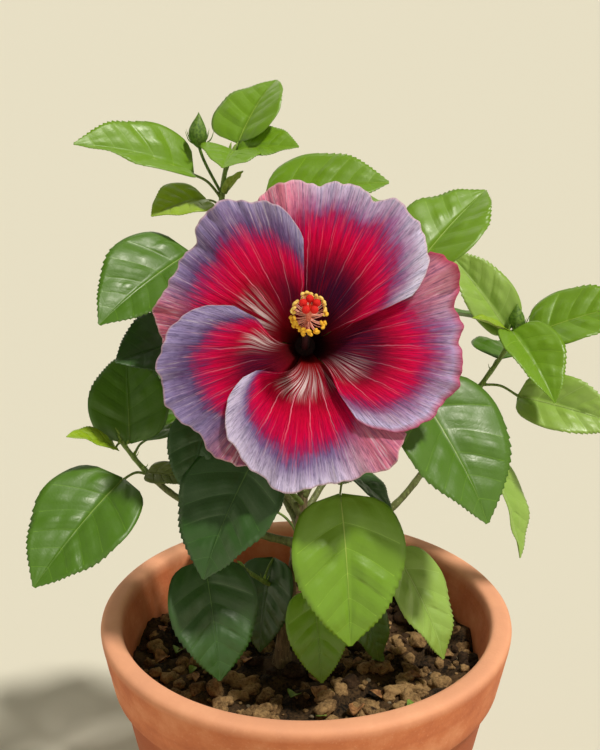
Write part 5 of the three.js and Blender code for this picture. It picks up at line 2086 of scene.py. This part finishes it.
@dataclass
class Stamens:
    """The column in the throat: a tapering tube, filaments with yellow anthers, and five red velvet pads."""

    bloom: Bloom
    route: tuple[Triple, ...] = ((0.0, 0.0, -18.0), (7.0, 5.0, 8.0), (19.8, 6.2, 30.0))
    foot: float = 2.5
    tip: float = 1.5
    count: int = 66
    first: float = 0.83
    last: float = 0.97
    reach: tuple[float, float] = (9.9, 9.3)
    lean: float = 2.6
    pad_ring: float = 3.9
    pad_lean: float = 4.6
    pad: float = 2.25
    seed: int = 3

    def build(self) -> None:
        """Makes the tube, the filaments, the anthers and the pads."""
        chance = random.Random(self.seed)
        places = [self.bloom.place(*spot) for spot in self.route]
        line = Route([self.bloom.place(0.0, 0.0, -35.8), *places], centripetal=True)
        column, threads, grains, pads = Gathered(), Gathered(), Gathered(), Gathered()

        def radius(share: float, turn: float) -> float:
            """Five-ribbed, tapering, and flared where the styles leave it."""
            flare = 0.9 * float(smooth(share, 0.93, 1.0) * (1.0 - smooth(share, 0.985, 1.0)))
            return lerp(self.foot, self.tip, share) * (1 + 0.06 * math.cos(5 * turn)) + flare

        tower = tube(line, radius, 20, 60)
        out, throat = Vector(self.bloom.axes()[0]), Vector(self.bloom.throat)
        # The column's foot is wine-black, partly its own red flush and partly painted shade deep in the
        # throat; rose above it, then salmon
        for face in tower.faces:
            height = (face.calc_center_median() - throat).dot(out)
            face.material_index = 2 if height < 14.0 else (1 if height < 18.0 else 0)
        column.take(tower)
        for i in range(self.count):
            turn = GOLDEN * i + chance.uniform(-14, 14)
            # The lower filaments leave the column lower, so that their ends make a ring round the pads
            share = min(1.0, max(0.0, 0.5 + 0.4 * math.cos(math.radians(turn)) + chance.uniform(-0.2, 0.2)))
            spot = lerp(self.first, self.last, share)
            reach = lerp(*self.reach, share) * chance.uniform(0.86, 1.06)
            lean = self.lean + chance.uniform(-1.6, 1.8)
            foot = line.at(spot)
            end = self.aside(line, spot, turn, reach, lean)
            middle = self.aside(line, spot, turn, reach * 0.5, lean * 0.15)
            threads.take(tube(Route([foot, middle, end]), lambda s, t: 0.3 - 0.08 * s, 5, 6), 0)
            # The upper anthers are paler cream than the golden lower ones: painted light from above
            upper = float(np.dot(np.array(end - foot), self.bloom.axes()[1])) > 1.0
            grains.take(self.anther(chance, end, end - middle), 0 if upper else 1)
        for k in range(5):
            turn = 72.0 * k
            end = self.aside(line, 1.0, turn, self.pad_ring, self.pad_lean)
            middle = self.aside(line, 1.0, turn, self.pad_ring * 0.3, self.pad_lean * 0.55)
            threads.take(tube(Route([line.at(0.96), middle, end]), lambda s, t: 1.0 - 0.5 * s, 8, 8), 1)
            pads.take(self.velvet(end, k), 0)
        flesh = [
            Flesh("column_flesh_salmon", "EE9C84", "DA7862", 2.0),
            Flesh("column_flesh_rose", "B4424A", "8A2030", 2.0),
            Flesh("column_flesh_wine", "1E0308", "120105", 2.0),
        ]
        column.finish("stamen_column_tube", flesh, Slot.STAMENS, ["stamen_column"])
        pale = Flesh("filament_flesh_pale", "F6C0AE", "EFA592", 1.5)
        style = Flesh("style_flesh_orange", "F0603C", "D8402A", 1.2)
        threads.finish("filaments", [pale, style], Slot.STAMENS)
        cream = Flesh("anther_pollen_cream", "FBE08A", "E9BC48", 0.5, 0.8, 0.25)
        gold = Flesh("anther_pollen_golden", "F7C63C", "DDA024", 0.5, 0.8, 0.25)
        grains.finish("anthers", [cream, gold], Slot.STAMENS)
        red = Flesh("stigma_velvet_red", "E81A10", "C20C0A", 0.45, 0.75, 0.3)
        pads.finish("stigma_pads", [red], Slot.STAMENS)

    def aside(self, line: Route, share: float, turn: float, reach: float, lean: float) -> Vector:
        """A point beside the column: at a share of it, at a clock heading about it, out and on by so much.

        Args:
            line: The column's line.
            share: How far along it.
            turn: The clock heading about it.
            reach: How far out.
            lean: How far on.

        Returns:
            The point.
        """
        tangent = line.tangent(share)
        up = Vector(self.bloom.axes()[1])
        up = (up - tangent * up.dot(tangent)).normalized()
        right = up.cross(tangent) * -1.0
        angle = math.radians(turn)
        return line.at(share) + (up * math.cos(angle) + right * math.sin(angle)) * reach + tangent * lean

    def anther(self, chance: random.Random, spot: Vector, out: Vector) -> Mesh:
        """A kidney-shaped anther on a filament's end.

        Args:
            chance: What deals out its size and turn.
            spot: Its place.
            out: Where its filament points.

        Returns:
            The shape.
        """
        shape = bmesh.new()
        size = chance.uniform(1.05, 1.35)
        bmesh.ops.create_icosphere(shape, subdivisions=2, radius=size)
        for vert in shape.verts:
            dent = math.exp(-((vert.co.x / 0.45) ** 2)) * (0.4 if vert.co.z < 0 else 0.12)
            vert.co.z += dent
            vert.co *= 1.0 + 0.1 * noise.noise(vert.co * 2.0 + spot)
        bmesh.ops.scale(shape, vec=(1.3, 0.85, 0.8), verts=shape.verts)
        spin = Matrix.Rotation(chance.random() * TAU, 3, "Z")
        turned = out.to_track_quat("Z", "Y").to_matrix() @ spin
        bmesh.ops.rotate(shape, cent=(0, 0, 0), matrix=turned, verts=shape.verts)
        bmesh.ops.translate(shape, vec=spot, verts=shape.verts)
        return shape

    def velvet(self, spot: Vector, number: int) -> Mesh:
        """A round pad covered in short papillae.

        Args:
            spot: Its place.
            number: Which pad, which shifts its lumps.

        Returns:
            The shape.
        """
        shape = bmesh.new()
        bmesh.ops.create_icosphere(shape, subdivisions=4, radius=self.pad)
        for vert in shape.verts:
            broad = noise.noise(vert.co * 3.4 + Vector((number * 7.0, 0, 0)))
            vert.co *= 1.0 + 0.06 * broad + 0.03 * noise.noise(vert.co * 9.0)
        bmesh.ops.scale(shape, vec=(1.0, 0.9, 1.0), verts=shape.verts)
        bmesh.ops.translate(shape, vec=spot, verts=shape.verts)
        return shape


@dataclass
class Studio:
    """The camera at the photograph's angle, a pale floor, and soft light with its key high on the right."""

    camera: Triple = (-4.0, -723.0, 666.0)
    down: float = 19.2
    lens: float = 57.6
    floor: float = 40.0

    def build(self) -> None:
        """Makes the camera, the floor and the lights."""
        scene = bpy.context.scene
        seen = bpy.data.cameras.new("camera")
        seen.lens, seen.sensor_width = self.lens, 36.0
        seen.clip_start, seen.clip_end = 0.02, 60.0
        camera = bpy.data.objects.new("camera", seen)
        camera.location = Vector(self.camera) * 0.001
        camera.rotation_euler = (math.radians(90.0 - self.down), 0.0, 0.0)
        scene.collection.objects.link(camera)
        scene.camera = camera
        shape = bmesh.new()
        bmesh.ops.create_circle(shape, cap_ends=True, segments=96, radius=self.floor)
        made = bpy.data.meshes.new("studio_floor")
        shape.to_mesh(made)
        shape.free()
        made.materials.append(StudioPaper().material())
        floor = bpy.data.objects.new("studio_floor", made)
        scene.collection.objects.link(floor)
        self.light("key", (0.38, -0.28, 0.88), 6.0, 3.0, "FFF8EC")
        self.light("fill", (-0.75, -0.5, 0.45), 50.0, 0.06, "EEF3FF")
        self.light("back", (-0.2, 0.85, 0.5), 50.0, 0.45, "FFF8EE")
        world = bpy.data.worlds.new("studio")
        world.use_nodes = True
        scene.world = world
        tree = world.node_tree
        tree.nodes.clear()
        aim = wire(tree, "TexCoord", {}, "Generated")
        height = wire(tree, "SeparateXYZ", {"Vector": aim}, "Z")
        # Pale near the horizon, where it stands behind the shrub, and dimmer overhead
        dimming = {"Value": height, "From Min": 0.12, "From Max": 0.5, "To Min": 1.0, "To Max": 0.22}
        glow = wire(tree, "MapRange", dimming)
        sky = wire(tree, "Background", {"Color": linear("E9E1C8"), "Strength": glow})
        wire(tree, "OutputWorld", {"Surface": sky})
        scene.view_settings.view_transform = "Standard"

    @staticmethod
    def light(name: str, towards: Triple, spread: float, power: float, colour: str) -> None:
        """Makes a lamp far off in one direction, which lights the whole floor evenly.

        Args:
            name: The lamp's name.
            towards: Where it stands from here.
            spread: How wide it looks from here, in degrees, which softens its shadows.
            power: Its strength.
            colour: Its sRGB colour.
        """
        lamp = bpy.data.lights.new(name, "SUN")
        lamp.angle, lamp.energy, lamp.color = math.radians(spread), power, linear(colour)[:3]
        stand = bpy.data.objects.new(name, lamp)
        stand.location = Vector(towards) * 2.0
        stand.rotation_euler = Vector(towards).to_track_quat("Z", "Y").to_euler()
        bpy.context.scene.collection.objects.link(stand)


def main() -> None:
    """Builds the shrub in order."""
    logging.basicConfig(level=logging.INFO, format="%(message)s")
    Studio().build()
    pot = Pot()
    pot.build()
    Soil(pot).build()
    Limbs().build()
    Foliage().build()
    Bloom().build()


if __name__ == "__main__":
    main()
